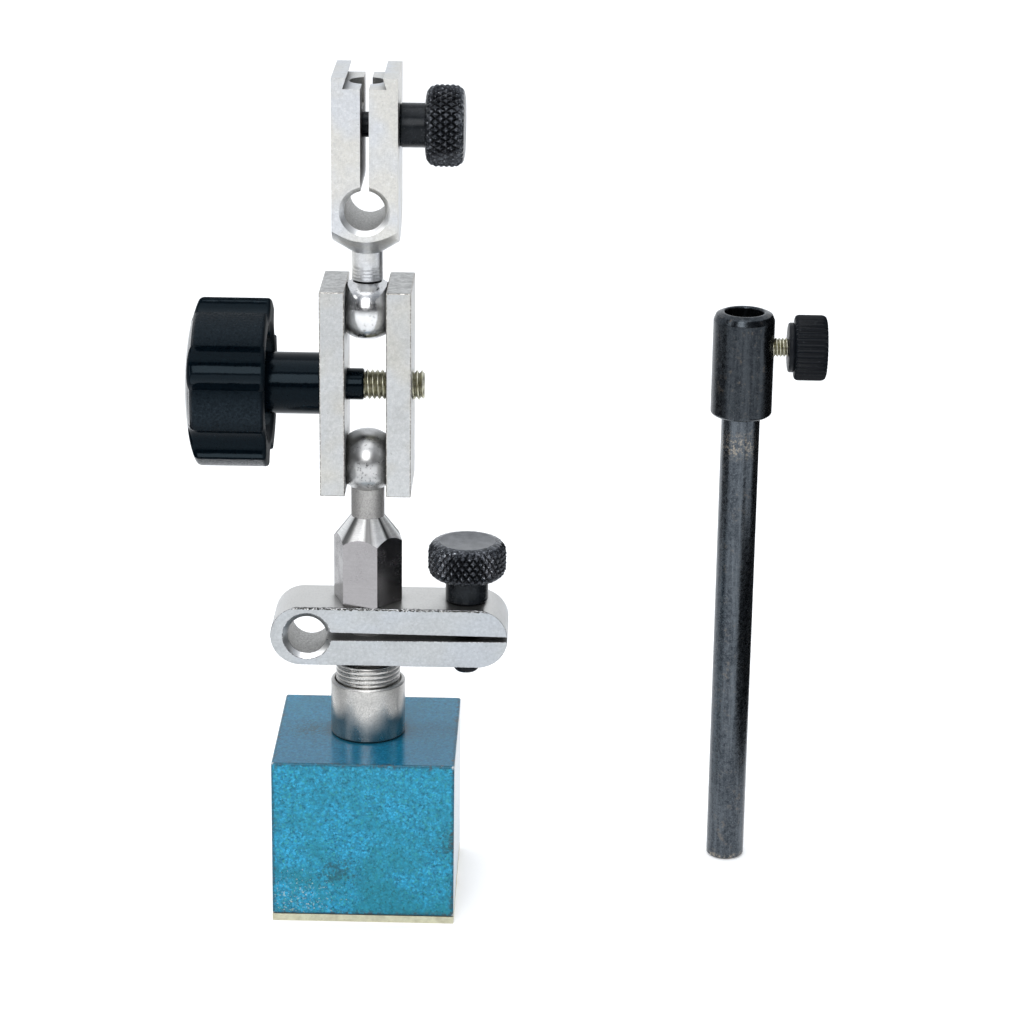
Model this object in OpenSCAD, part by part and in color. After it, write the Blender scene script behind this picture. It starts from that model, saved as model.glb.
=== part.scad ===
// Small magnetic base stand: square magnetic block, split cross bar, double-ball swivel with a star
// knob, dovetail indicator clamp, and a separate 8 mm extension rod with a clamping head.
// Units are millimetres. Origin: centre of the base's bottom face. +Z up, -Y is the front.

/* [Base] */
// Width and depth of the square base
base_width = 37.5; // [36:0.5:46]
// Height of the base, pole plates included
base_height = 35.3; // [33:0.1:42]
// Thickness of the steel pole plates
pole_plate_thickness = 1.5; // [1.5:0.25:2.5]
// Diameter of the plain collar on the base
collar_diameter = 15.4; // [14.6:0.2:18]
// Height of the plain collar
collar_height = 11.85; // [8:0.05:14]

/* [Cross bar] */
// Length of the bar to the left of the stand axis
bar_left = 19.7; // [18.5:0.1:26]
// Length of the bar to the right of the stand axis
bar_right = 29; // [29:0.5:36]
// Height of the bar
bar_height = 12.5; // [12:0.5:14]
// Depth of the bar
bar_depth = 13.5; // [12:0.5:16]
// Stand axis to clamp screw axis
bar_screw_x = 20.4; // [19:0.1:22]
// Length of the bar's thumb screw standing out below the bar
bar_screw_tip = 3; // [0.5:0.1:4]

/* [Clamping bores] */
// Diameter of the rod bores, of the rod and of its socket
bore_diameter = 8; // [7:0.5:8]
// Width of the chamfer at the bore mouths
bore_chamfer = 1; // [0.4:0.1:1]

/* [Double-ball swivel] */
// Ball diameter
ball_diameter = 13; // [12:0.5:13]
// Running gap between a ball and its sockets
ball_gap = 0.05; // [0.02:0.01:0.08]
// Distance between the two ball centres
ball_spacing = 32; // [30:1:40]
// Thickness of a clamping plate
plate_thickness = 5; // [4.5:0.5:6]
// Gap between the clamping plates
plate_gap = 8.3; // [8:0.1:9]
// Depth of a clamping plate
plate_depth = 17; // [13:0.5:19]
// Plate length past a ball centre
plate_overhang = 5.2; // [4.8:0.2:5.4]

/* [Star knob] */
// Diameter over the knob's lobes
knob_diameter = 34; // [30:1:38]
// Length of the knob's body
knob_length = 16.8; // [14:0.2:20]
// Length of the knob's hub
hub_length = 10.55; // [8:0.05:14]

/* [Indicator clamp] */
// Width of the clamp block
clamp_width = 13; // [12.5:0.5:15]
// Depth of the clamp block
clamp_depth = 18; // [13:0.5:20]
// Opening of the dovetail groove
dovetail_opening = 7.2; // [6.4:0.1:7.4]
// Bottom width of the dovetail groove
dovetail_bottom = 8.6; // [8.2:0.1:8.8]

/* [Thumb screws] */
// Diameter of the knurled heads
thumb_diameter = 16.2; // [14:0.2:17]
// Length of the knurled heads
thumb_length = 7.8; // [6:0.2:9]

/* [Extension rod] */
// Overall length of the extension rod
rod_length = 122; // [90:1:200]
// Diameter of the rod's clamping head
rod_head_diameter = 12.7; // [11.5:0.1:14]

/* [Hidden] */
$fn = 96;

steel = [0.78, 0.78, 0.79];
black = [0.06, 0.06, 0.07];
running = 0.05;                     // radial clearance of a turning fit

// Base
wall_x = 4;
wall_y = 6;
magnet_height = 18;
magnet_gap = 4;
base_post_top = base_height + 16;
thread_radius = 6.65;
stud_radius = 4;                    // M8
stud_down = 9;

// Cross bar
bar_z = base_post_top + 1;
bar_top = bar_z + bar_height;
bar_mid = bar_z + bar_height / 2;
bore_radius = bore_diameter / 2;
bar_bore_x = -(bar_left - bar_height / 2 - 1.25);
slot_left = 1.8;
slot_right = 1.1;
jaw_stud = bar_height / 2 - slot_left / 2 - 0.15;

// Ball posts and swivel
ball_radius = ball_diameter / 2;
hex_flats = 12.5;
hex_height = 13.1;
cone_height = 5.15;
neck_radius = 3.4;
upper_neck_radius = 3.1;
ball_low = bar_top + 29.9;
ball_high = ball_low + ball_spacing;
ball_mid = (ball_low + ball_high) / 2;
neck_flat = sqrt(pow(ball_radius, 2) - pow(neck_radius, 2));
upper_flat = sqrt(pow(ball_radius, 2) - pow(upper_neck_radius, 2));
plate_in = plate_gap / 2;
plate_out = plate_in + plate_thickness;
plate_low = ball_low - plate_overhang;
plate_length = ball_spacing + 2 * plate_overhang;
knob_stud_radius = 3;               // M6
boss_radius = 3.2;

// Star knob
knob_back = plate_out + hub_length;
knob_radius = knob_diameter / 2;
knob_front = knob_back + knob_length;
knob_dome = 4;
scallop_radius = 4.9;
scallop_reach = knob_radius + 1.5;

// Indicator clamp
block_z = ball_high + 11.8;
clamp_top = ball_high + 48.1;
clamp_bore_z = ball_high + 21.7;
clamp_screw_z = ball_high + 37.2;
groove_depth = 2.2;
recess_radius = 3.5;
recess_depth = 5;
clamp_slot = 1.7;

// Thumb screws
screw_radius = 2.5;                 // M5
shoulder_radius = 4.4;
shoulder_length = 5;

// Extension rod
rod_x = 76.5;
rod_y = 19;
rod_head_length = 22;
rod_head_z = rod_length - rod_head_length;
socket_depth = 16;
spigot_radius = bore_radius - 0.5;
rod_screw_z = rod_length - 7.5;
rod_screw_radius = 2;               // M4
rod_head_radius = rod_head_diameter / 2;
ridges = 36;

// ---------- shared shapes ----------

// Box between two corners.
module box(lo, hi) {
    translate(lo) cube([hi[0] - lo[0], hi[1] - lo[1], hi[2] - lo[2]]);
}

// Cylinder along +Z from z0 to z1.
module rod_z(r, z0, z1) {
    translate([0, 0, z0]) cylinder(r = r, h = z1 - z0);
}

// Cylinder along +X from x0 to x1.
module rod_x_axis(r, x0, x1) {
    translate([x0, 0, 0]) rotate([0, 90, 0]) cylinder(r = r, h = x1 - x0);
}

// Rectangle with its four corners cut at 45 degrees.
module chamfered_square(w, h, c) {
    polygon([[-w/2 + c, -h/2], [w/2 - c, -h/2], [w/2, -h/2 + c], [w/2, h/2 - c],
             [w/2 - c, h/2], [-w/2 + c, h/2], [-w/2, h/2 - c], [-w/2, -h/2 + c]]);
}

// Rod bore along Y through a part of the given depth, chamfered at both mouths.
module bore_y(depth) {
    rotate([90, 0, 0]) {
        translate([0, 0, -depth]) cylinder(r = bore_radius, h = 2 * depth);
        for (side = [0, 1]) mirror([0, 0, side]) translate([0, 0, depth / 2 - bore_chamfer])
            cylinder(r1 = bore_radius, r2 = bore_radius + 2 * bore_chamfer, h = 2 * bore_chamfer);
    }
}

// Thumb screw standing on z = 0: shank below, shoulder and knurled head above.
module thumb_screw(shank) {
    rotate_extrude() polygon([[0, -shank], [screw_radius - 0.4, -shank], [screw_radius, 0.4 - shank],
        [screw_radius, 0], [shoulder_radius - 0.4, 0], [shoulder_radius, 0.4],
        [shoulder_radius, shoulder_length], [thumb_diameter / 2 - 0.6, shoulder_length],
        [thumb_diameter / 2, shoulder_length + 0.6],
        [thumb_diameter / 2, shoulder_length + thumb_length - 1.5],
        [thumb_diameter / 2 - 1.05, shoulder_length + thumb_length],
        [0, shoulder_length + thumb_length]]);
}

// ---------- base ----------

module base_housing() {
    color([0.1, 0.42, 0.56]) difference() {
        intersection() {
            translate([0, 0, pole_plate_thickness])
                linear_extrude(base_height - pole_plate_thickness)
                    chamfered_square(base_width, base_width, 0.4);
            rotate([90, 0, 0]) translate([0, 0, -base_width]) linear_extrude(2 * base_width)
                translate([0, base_height / 2]) chamfered_square(base_width, base_height, 0.4);
            rotate([90, 0, 90]) translate([0, 0, -base_width]) linear_extrude(2 * base_width)
                translate([0, base_height / 2]) chamfered_square(base_width, base_height, 0.4);
        }
        box([-base_width / 2 + wall_x, -base_width / 2 + wall_y, 0],
            [base_width / 2 - wall_x, base_width / 2 - wall_y, pole_plate_thickness + magnet_height]);
        rod_z(stud_radius, base_height - stud_down - 0.5, base_height + 1);
        pole_screw_places() rod_z(1.5, 0, 9);
    }
}

module magnet_block(side) {
    box([-base_width / 2 + wall_x, side < 0 ? -base_width / 2 + wall_y : magnet_gap / 2,
         pole_plate_thickness],
        [base_width / 2 - wall_x, side < 0 ? -magnet_gap / 2 : base_width / 2 - wall_y,
         pole_plate_thickness + magnet_height]);
}

module magnet_front() {
    color([0.25, 0.25, 0.27]) magnet_block(-1);
}

module magnet_rear() {
    color([0.25, 0.25, 0.27]) magnet_block(1);
}

module magnet_spacer() {
    color([0.8, 0.66, 0.3])
        box([-base_width / 2 + wall_x, -magnet_gap / 2, pole_plate_thickness],
            [base_width / 2 - wall_x, magnet_gap / 2, pole_plate_thickness + magnet_height]);
}

// The four screw positions, two in each pole plate.
module pole_screw_places() {
    for (x = [-1, 1], y = [-1, 1])
        translate([x * (base_width / 2 - 4), y * (base_width / 2 - wall_y / 2), 0]) children();
}

module pole_plate(side) {
    difference() {
        box([-base_width / 2, side < 0 ? -base_width / 2 : magnet_gap / 2, 0],
            [base_width / 2, side < 0 ? -magnet_gap / 2 : base_width / 2, pole_plate_thickness]);
        pole_screw_places() rod_z(1.5, -1, 4);
        pole_screw_places() translate([0, 0, -0.01]) cylinder(r1 = 2.66, r2 = 1.5, h = 1.16);
    }
}

module pole_plate_front() {
    color([0.85, 0.8, 0.62]) pole_plate(-1);
}

module pole_plate_rear() {
    color([0.85, 0.8, 0.62]) pole_plate(1);
}

module pole_spacer() {
    color([0.8, 0.66, 0.3])
        box([-base_width / 2, -magnet_gap / 2, 0],
            [base_width / 2, magnet_gap / 2, pole_plate_thickness]);
}

module pole_screws() {
    color(steel) pole_screw_places() difference() {
        union() {
            rod_z(1.5, 0.5, 8);
            cylinder(r1 = 2.65, r2 = 1.5, h = 1.15);
        }
        translate([0, 0, -0.5]) cylinder(r = 1.15, h = 1.4, $fn = 6);
    }
}

module base_post() {
    color(steel) rotate_extrude() polygon([
        [0, base_height - stud_down], [stud_radius - 0.5, base_height - stud_down],
        [stud_radius, base_height - stud_down + 0.5], [stud_radius, base_height],
        [thread_radius, base_height], [thread_radius, base_post_top - 0.4],
        [thread_radius - 0.4, base_post_top], [4.6, base_post_top], [4.6, bar_z],
        [stud_radius - running, bar_z], [stud_radius - running, bar_z + jaw_stud],
        [0, bar_z + jaw_stud]]);
}

module post_collar() {
    color(steel) rotate_extrude() polygon([
        [thread_radius, base_height], [collar_diameter / 2 - 0.3, base_height],
        [collar_diameter / 2, base_height + 0.3],
        [collar_diameter / 2, base_height + collar_height - 0.4],
        [collar_diameter / 2 - 0.4, base_height + collar_height],
        [thread_radius, base_height + collar_height]]);
}

// ---------- cross bar ----------

// Side view of the bar: straight edges and full-radius ends.
module bar_outline() {
    end = bar_height / 2;
    union() {
        translate([-bar_left + end, -end]) square([bar_left + bar_right - bar_height, bar_height]);
        translate([-bar_left + end, 0]) circle(r = end);
        translate([bar_right - end, 0]) circle(r = end);
    }
}

module clamp_bar() {
    color(steel) difference() {
        translate([0, bar_depth / 2, bar_mid]) rotate([90, 0, 0])
            linear_extrude(bar_depth) bar_outline();
        translate([bar_bore_x, 0, bar_mid]) bore_y(bar_depth);
        translate([0, bar_depth, bar_mid]) rotate([90, 0, 0]) linear_extrude(2 * bar_depth)
            polygon([[bar_bore_x, -slot_left / 2], [bar_right + 1, -slot_right / 2],
                     [bar_right + 1, slot_right / 2], [bar_bore_x, slot_left / 2]]);
        rod_z(stud_radius, bar_z - 1, bar_top + 1);
        translate([bar_screw_x, 0, 0]) rod_z(screw_radius + running, bar_z - 1, bar_top + 1);
    }
}

module hex_ball_post() {
    cone_z = bar_top + hex_height;
    neck_z = cone_z + cone_height;
    apothem = hex_flats / 2;
    corner = apothem / cos(30);
    color(steel) union() {
        rod_z(stud_radius, bar_top - jaw_stud, bar_top + 1);
        intersection() {
            rotate([0, 0, -11.4]) translate([0, 0, bar_top])
                cylinder(r = corner, h = hex_height + cone_height, $fn = 6);
            rotate_extrude() polygon([
                [0, bar_top - 1], [corner, bar_top - 1], [corner + 0.5, bar_top], [corner + 0.5, cone_z - 0.6],
                [neck_radius, neck_z], [0, neck_z]]);
        }
        rod_z(neck_radius, neck_z - 0.5, ball_low - neck_flat);
    }
}

module bar_screw() {
    color(black) translate([bar_screw_x, 0, bar_top]) thumb_screw(bar_height + bar_screw_tip);
}

// ---------- double-ball swivel ----------

module lower_ball() {
    color(steel) difference() {
        translate([0, 0, ball_low]) sphere(r = ball_radius);
        translate([0, 0, ball_low - neck_flat - 5]) cube([20, 20, 10], center = true);
    }
}

module upper_ball() {
    color(steel) difference() {
        translate([0, 0, ball_high]) sphere(r = ball_radius);
        translate([0, 0, ball_high + upper_flat + 5]) cube([20, 20, 10], center = true);
    }
}

// Plate on the +X side, before its screw hole: edges broken, a spherical socket at each end.
module plate_blank() {
    difference() {
        translate([plate_in, 0, plate_low]) linear_extrude(plate_length)
            translate([plate_thickness / 2, 0])
                chamfered_square(plate_thickness, plate_depth, 0.4);
        for (z = [ball_low, ball_high])
            translate([0, 0, z]) rotate([0, 0, 90]) sphere(r = ball_radius + ball_gap);
    }
}

module left_plate() {
    color(steel) difference() {
        mirror([1, 0, 0]) plate_blank();
        translate([0, 0, ball_mid]) rod_x_axis(boss_radius + running, -plate_out - 1, -plate_in + 1);
    }
}

module right_plate() {
    color(steel) difference() {
        plate_blank();
        translate([0, 0, ball_mid])
            rod_x_axis(knob_stud_radius + running, plate_in - 1, plate_out + 1);
    }
}

// Round body of the knob along +Z: hollow at the back, slightly domed at the front.
module knob_body() {
    front = knob_length;
    rotate_extrude() polygon([
        [0, 0], [6.25, 0], [6.25, -hub_length + 0.3], [5.95, -hub_length], [0, -hub_length]]);
    difference() {
        rotate_extrude() polygon([
            [0, 4.5], [6, 4.5], [knob_radius - 5.6, 3.2], [knob_radius - 4.9, 0],
            [knob_radius - 0.5, 0], [knob_radius, 0.5], [knob_radius, front - knob_dome],
            [knob_radius - 0.35, front - knob_dome * 0.72], [knob_radius - 1.4, front - knob_dome * 0.51],
            [knob_radius * 0.66, front - knob_dome * 0.24], [knob_radius * 0.33, front - knob_dome * 0.06],
            [0, front]]);
        for (i = [0:5]) rotate([0, 0, 30 + 60 * i]) translate([scallop_reach, 0, -1])
            cylinder(r = scallop_radius, h = front + 2);
    }
    rod_z(6.25, -0.5, 5);
}

module star_knob() {
    color(black) translate([-knob_back, 0, ball_mid]) difference() {
        union() {
            rotate([0, -90, 0]) rotate([0, 0, 25.9]) knob_body();
            rod_x_axis(boss_radius, hub_length - 0.5, knob_back - 0.65);
        }
        rod_x_axis(knob_stud_radius, -8, knob_back + 1);
    }
}

module knob_stud() {
    color([0.8, 0.72, 0.42]) translate([-knob_back, 0, ball_mid]) rotate([0, 90, 0])
        rotate_extrude() polygon([
            [0, -8], [knob_stud_radius, -8], [knob_stud_radius, knob_back + plate_out + 1.9],
            [knob_stud_radius - 0.5, knob_back + plate_out + 2.4], [0, knob_back + plate_out + 2.4]]);
}

// ---------- indicator clamp ----------

module dovetail_clamp() {
    w = clamp_width / 2;
    face_z = block_z + 0.64 * (clamp_depth / 2 - upper_neck_radius);
    cone_r = norm([w, clamp_depth / 2]) + 1;
    cone_z = face_z + cone_r - clamp_depth / 2;
    color(steel) difference() {
        union() {
            rod_z(upper_neck_radius, ball_high + upper_flat, block_z + 0.5);
            intersection() {
                translate([0, 0, block_z]) linear_extrude(clamp_top - block_z)
                    chamfered_square(clamp_width, clamp_depth, 0.3);
                rotate_extrude() polygon([
                    [0, block_z], [upper_neck_radius, block_z], [clamp_depth / 2, face_z], [cone_r, cone_z],
                    [cone_r, clamp_top + 1], [0, clamp_top + 1]]);
            }
        }
        translate([0, 0, clamp_bore_z]) bore_y(clamp_depth);
        box([-clamp_slot / 2, -clamp_depth, clamp_bore_z],
            [clamp_slot / 2, clamp_depth, clamp_top + 1]);
        translate([0, clamp_depth, clamp_top]) rotate([90, 0, 0]) linear_extrude(2 * clamp_depth)
            polygon([[-dovetail_bottom / 2, -groove_depth], [dovetail_bottom / 2, -groove_depth],
                     [dovetail_opening / 2, 0], [dovetail_opening / 2, 1],
                     [-dovetail_opening / 2, 1], [-dovetail_opening / 2, 0]]);
        rod_z(recess_radius, clamp_top - groove_depth - recess_depth, clamp_top);
        translate([0, 0, clamp_screw_z]) rod_x_axis(screw_radius + running, 1.5 - w, w + 1);
    }
}

module holder_screw() {
    color(black) translate([clamp_width / 2, 0, clamp_screw_z]) rotate([0, 90, 0])
        thumb_screw(clamp_width - 2);
}

// ---------- extension rod ----------

module rod_shank() {
    color([0.1, 0.1, 0.11]) translate([rod_x, rod_y, 0]) difference() {
        rotate_extrude() polygon([
            [0, 0], [bore_radius - 0.5, 0], [bore_radius, 0.5], [bore_radius, rod_head_z],
            [spigot_radius, rod_head_z], [spigot_radius, rod_length - socket_depth],
            [0, rod_length - socket_depth]]);
        rod_z(2.1, -1, 10);
    }
}

module rod_head() {
    color([0.1, 0.1, 0.11]) translate([rod_x, rod_y, 0]) difference() {
        rotate_extrude() polygon([
            [0, rod_head_z], [rod_head_radius - 0.4, rod_head_z], [rod_head_radius, rod_head_z + 0.4],
            [rod_head_radius, rod_length - 1.5], [rod_head_radius - 0.45, rod_length - 0.45],
            [rod_head_radius - 1.5, rod_length], [0, rod_length]]);
        rod_z(spigot_radius, rod_head_z - 1, rod_length);
        rod_z(bore_radius, rod_length - socket_depth, rod_length + 1);
        translate([0, 0, rod_screw_z])
            rod_x_axis(rod_screw_radius + running, 0, rod_head_radius + 1);
    }
}

module rod_screw_knob() {
    tip = 6.8;
    flange_x = rod_head_radius + 2.8;
    color(black) translate([rod_x + flange_x, rod_y, rod_screw_z]) difference() {
        union() {
            rod_x_axis(5.15, 0, 1.5);
            translate([1.3, 0, 0]) rotate([0, 90, 0]) linear_extrude(6.7) polygon([
                for (i = [0 : 2 * ridges - 1])
                    (tip - (i % 2) * 0.45) * [cos(i * 180 / ridges), sin(i * 180 / ridges)]]);
        }
        rod_x_axis(rod_screw_radius, -1, 6);
    }
}

module rod_screw_stud() {
    end_x = bore_radius + 0.6;
    color([0.8, 0.72, 0.42]) translate([rod_x, rod_y, rod_screw_z]) rotate([0, 90, 0])
        rotate_extrude() polygon([
            [0, end_x], [rod_screw_radius - 0.3, end_x], [rod_screw_radius, end_x + 0.3],
            [rod_screw_radius, rod_head_radius + 9], [0, rod_head_radius + 9]]);
}

// ---------- drawing ----------

base_housing();
magnet_front();
magnet_rear();
magnet_spacer();
pole_plate_front();
pole_plate_rear();
pole_spacer();
pole_screws();
base_post();
post_collar();
clamp_bar();
hex_ball_post();
bar_screw();
lower_ball();
left_plate();
right_plate();
star_knob();
knob_stud();
upper_ball();
dovetail_clamp();
holder_screw();
rod_shank();
rod_head();
rod_screw_knob();
rod_screw_stud();
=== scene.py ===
import math

import bmesh
import bpy
import numpy as np
from mathutils import Matrix, Vector

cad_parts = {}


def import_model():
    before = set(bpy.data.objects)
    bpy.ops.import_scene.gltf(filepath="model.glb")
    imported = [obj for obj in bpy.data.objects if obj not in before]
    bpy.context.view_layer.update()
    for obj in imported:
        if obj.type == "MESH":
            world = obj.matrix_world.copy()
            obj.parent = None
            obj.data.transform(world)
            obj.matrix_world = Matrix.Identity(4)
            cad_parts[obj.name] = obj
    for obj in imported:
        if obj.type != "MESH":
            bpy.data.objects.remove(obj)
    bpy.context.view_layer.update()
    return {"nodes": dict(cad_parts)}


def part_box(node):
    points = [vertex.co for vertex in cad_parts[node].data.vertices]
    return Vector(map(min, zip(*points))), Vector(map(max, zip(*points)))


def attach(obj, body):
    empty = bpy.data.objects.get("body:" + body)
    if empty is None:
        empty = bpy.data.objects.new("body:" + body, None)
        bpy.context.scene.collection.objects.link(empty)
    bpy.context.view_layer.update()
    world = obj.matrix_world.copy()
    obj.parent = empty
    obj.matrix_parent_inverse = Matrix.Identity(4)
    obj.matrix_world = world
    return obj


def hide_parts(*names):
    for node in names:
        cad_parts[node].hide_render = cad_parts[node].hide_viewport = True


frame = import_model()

# Looks of the small magnetic base stand and its extension rod. Lengths are in millimetres until a
# mesh is made, and every mesh is in the row frame, so an object's own coordinates are the row's.

MM = 0.001
TAU = 2 * math.pi
X, Y, Z = 0, 1, 2
BORE = 4                  # radius of the two clamping bores
BORE_BELOW_SCREW = 15.5   # from the clamp's screw down to its bore
LOBE_TURN = math.radians(25.9)    # of the star knob
SCOOP = 4.9               # radius of the scallops between its lobes
SCOOP_REACH = 1.5         # from the lobes' outer radius out to a scallop's centre


# ---- mesh helpers

def box(node):
    """Lowest and highest corner of a CAD node, in millimetres."""
    lo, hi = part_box(node)
    return np.array(lo) / MM, np.array(hi) / MM


def middle(node):
    """Centre of a CAD node's box, in millimetres."""
    lo, hi = box(node)
    return (lo + hi) / 2


def add_object(name, data):
    """A new object in the scene."""
    obj = bpy.data.objects.new(name, data)
    bpy.context.scene.collection.objects.link(obj)
    return obj


def make(name, points, faces):
    """A mesh object from points in millimetres."""
    mesh = bpy.data.meshes.new(name)
    mesh.from_pydata((np.asarray(points, float) * MM).tolist(), [], faces)
    return add_object(name, mesh)


def weld(obj, distance=0.0008):
    """Merges touching points and makes the faces point outwards."""
    work = bmesh.new()
    work.from_mesh(obj.data)
    bmesh.ops.remove_doubles(work, verts=work.verts, dist=distance * MM)
    bmesh.ops.dissolve_degenerate(work, edges=work.edges, dist=0.0004 * MM)
    bmesh.ops.recalc_face_normals(work, faces=work.faces)
    work.to_mesh(obj.data)
    work.free()
    return obj


def shade(obj, angle, weighted=True):
    """Smooth shading with edges above the angle kept sharp."""
    obj.data.polygons.foreach_set("use_smooth", [True] * len(obj.data.polygons))
    obj.data.set_sharp_from_angle(angle=math.radians(angle))
    if weighted:
        normals = obj.modifiers.new("normals", "WEIGHTED_NORMAL")
        normals.keep_sharp = True
        normals.weight = 90
    return obj


def bake(obj):
    """Applies an object's modifiers to its mesh."""
    bpy.context.view_layer.update()
    graph = bpy.context.evaluated_depsgraph_get()
    mesh = bpy.data.meshes.new_from_object(obj.evaluated_get(graph))
    obj.modifiers.clear()
    obj.data = mesh
    return obj


def carve(obj, tools, operation="DIFFERENCE"):
    """Cuts obj with each tool, or keeps what they share, and deletes the tools."""
    for tool in tools:
        cut = obj.modifiers.new("cut", "BOOLEAN")
        cut.operation = operation
        cut.solver = "EXACT"
        cut.object = tool
        bake(obj)
        bpy.data.objects.remove(tool)
    return weld(obj)


def add_bevel(obj, width, segments, angle):
    """Rounds the edges that are sharper than an angle in degrees."""
    bevel = obj.modifiers.new("edges", "BEVEL")
    bevel.width = width * MM
    bevel.segments = segments
    bevel.limit_method = "ANGLE"
    bevel.angle_limit = math.radians(angle)
    return bevel


def soften(obj, width, segments=3):
    """Breaks the sharp edges with a small round, whose faces take the piece's second finish."""
    while len(obj.data.materials) < 2:
        obj.data.materials.append(None)
    bevel = add_bevel(obj, width, segments, 28)
    bevel.miter_outer = "MITER_ARC"
    bevel.material = 1
    bake(obj)
    return shade(obj, 50)


def pick_finish(obj, index):
    """Gives all of a part's faces the piece's finish with this index."""
    for _ in range(index + 1):
        obj.data.materials.append(None)
    obj.data.polygons.foreach_set("material_index", [index] * len(obj.data.polygons))


def stand(obj, axis, centre):
    """Turns a shape made along +Z so that it points along axis, and moves it to centre."""
    turn = Vector((0, 0, 1)).rotation_difference(Vector(axis)).to_matrix().to_4x4()
    obj.data.transform(Matrix.Translation(Vector(centre) * MM) @ turn)
    return obj


def rounded(profile, radius):
    """A profile of (radius, height) points with its inner corners rounded. A third number is that
    corner's own rounding."""
    arc, share = 4, 0.45    # steps in a corner, and the most of a side that it takes
    out = []
    for i, point in enumerate(profile):
        here = np.array(point[:2], float)
        size = point[2] if len(point) > 2 else radius
        if i in (0, len(profile) - 1) or size == 0:
            out.append(tuple(here))
            continue
        before = np.array(profile[i - 1][:2], float) - here
        after = np.array(profile[i + 1][:2], float) - here
        reach = min(size, share * np.linalg.norm(before), share * np.linalg.norm(after))
        a = here + before / np.linalg.norm(before) * reach
        b = here + after / np.linalg.norm(after) * reach
        for k in range(arc + 1):
            t = k / arc
            out.append(tuple((1 - t) ** 2 * a + 2 * t * (1 - t) * here + t * t * b))
    return out


def ring(steps):
    """Even angles round a circle."""
    return TAU * np.arange(steps) / steps


def circle(radius, angle, height):
    """Points at each angle."""
    return list(zip(radius * np.cos(angle), radius * np.sin(angle), height))


def rows_mesh(name, rows, steps):
    """Rows of (radius, height), each a number or one value per step, joined into a surface."""
    angle = ring(steps)
    points, faces, rings = [], [], []
    for radius, height in rows:
        first = len(points)
        if np.ndim(radius) == 0 and radius < 1e-6:
            points.append((0, 0, float(np.mean(height))))
            rings.append([first] * steps)
            continue
        points += circle(np.broadcast_to(radius, steps), angle, np.broadcast_to(height, steps))
        rings.append(list(range(first, first + steps)))
    for low, high in zip(rings, rings[1:]):
        for i in range(steps):
            j = (i + 1) % steps
            corner = [low[i], low[j], high[j], high[i]]
            face = [v for k, v in enumerate(corner) if v not in corner[:k]]
            if len(face) > 2:
                faces.append(face)
    return make(name, points, faces)


def join(name, parts):
    """Several mesh objects as one, with touching points merged."""
    work = bmesh.new()
    for part in parts:
        work.from_mesh(part.data)
        bpy.data.objects.remove(part)
    mesh = bpy.data.meshes.new(name)
    work.to_mesh(mesh)
    work.free()
    return weld(add_object(name, mesh))


def lathe(name, profile, steps, radius):
    """A turned shape along +Z from a profile, with its corners rounded."""
    return weld(rows_mesh(name, rounded(profile, radius), steps))


def prism(name, outline, y0, y1):
    """An outline of (x, z) points, extruded along Y."""
    count = len(outline)
    points = [(x, y0, z) for x, z in outline] + [(x, y1, z) for x, z in outline]
    faces = [list(range(count)), list(range(2 * count - 1, count - 1, -1))]
    faces += [[i, i + count, (i + 1) % count + count, (i + 1) % count] for i in range(count)]
    return weld(make(name, points, faces))


def block(name, lo, hi):
    """A box between two corners, as a start for cuts and bevels."""
    outline = [(lo[0], lo[2]), (hi[0], lo[2]), (hi[0], hi[2]), (lo[0], hi[2])]
    return prism(name, outline, lo[1], hi[1])


def arc_points(cx, cz, radius, start, stop, count):
    """Points on an arc in the XZ plane, from start to stop in degrees."""
    turn = np.radians(np.linspace(start, stop, count))
    return list(zip(cx + radius * np.cos(turn), cz + radius * np.sin(turn)))


def thread_at(radius, pitch, depth, flat, angle, height):
    """Radius of a right-hand thread at an angle and height. flat is the crest's share."""
    root = 0.92    # where the thread's floor starts
    wave = np.abs(2 * np.mod(height / pitch - angle / TAU, 1) - 1)
    return radius - depth * np.clip((wave - flat) / (root - flat), 0, 1)


def thread_band(name, radius, pitch, low, high, steps=96, depth=0.58, flat=0.15):
    """A threaded band along +Z whose rows follow the thread, with a chamfer at each end. It gives
    the band and the radius along its lower and upper edge."""
    depth = depth * pitch
    per_turn = 12    # rows in one turn
    slope = 0.9      # of the chamfers
    turns = int((high - low) / pitch) + 3
    columns = np.arange(turns * steps + 1)
    angle = TAU * columns / steps
    points = []

    def radius_at(a, h):
        lead = radius - depth + np.minimum(h - low, high - h) * slope + 0.15 * pitch
        return np.minimum(thread_at(radius, pitch, depth, flat, a, h), lead)

    for m in range(per_turn):
        h = np.clip(low - 1.5 * pitch + pitch * (columns / steps + m / per_turn), low, high)
        points += circle(radius_at(angle, h), angle, h)
    faces = []
    for m in range(per_turn):
        for j in range((turns - 1) * steps):
            up, across = (m + 1, 0) if m + 1 < per_turn else (0, steps)
            if j + 1 + across > turns * steps:
                continue
            here, over = m * len(columns) + j, up * len(columns) + j + across
            faces.append([here, here + 1, over + 1, over])
    low_edge, high_edge = (radius_at(ring(steps), np.full(steps, h)) for h in (low, high))
    return weld(make(name, points, faces), 0.003), low_edge, high_edge


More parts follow.
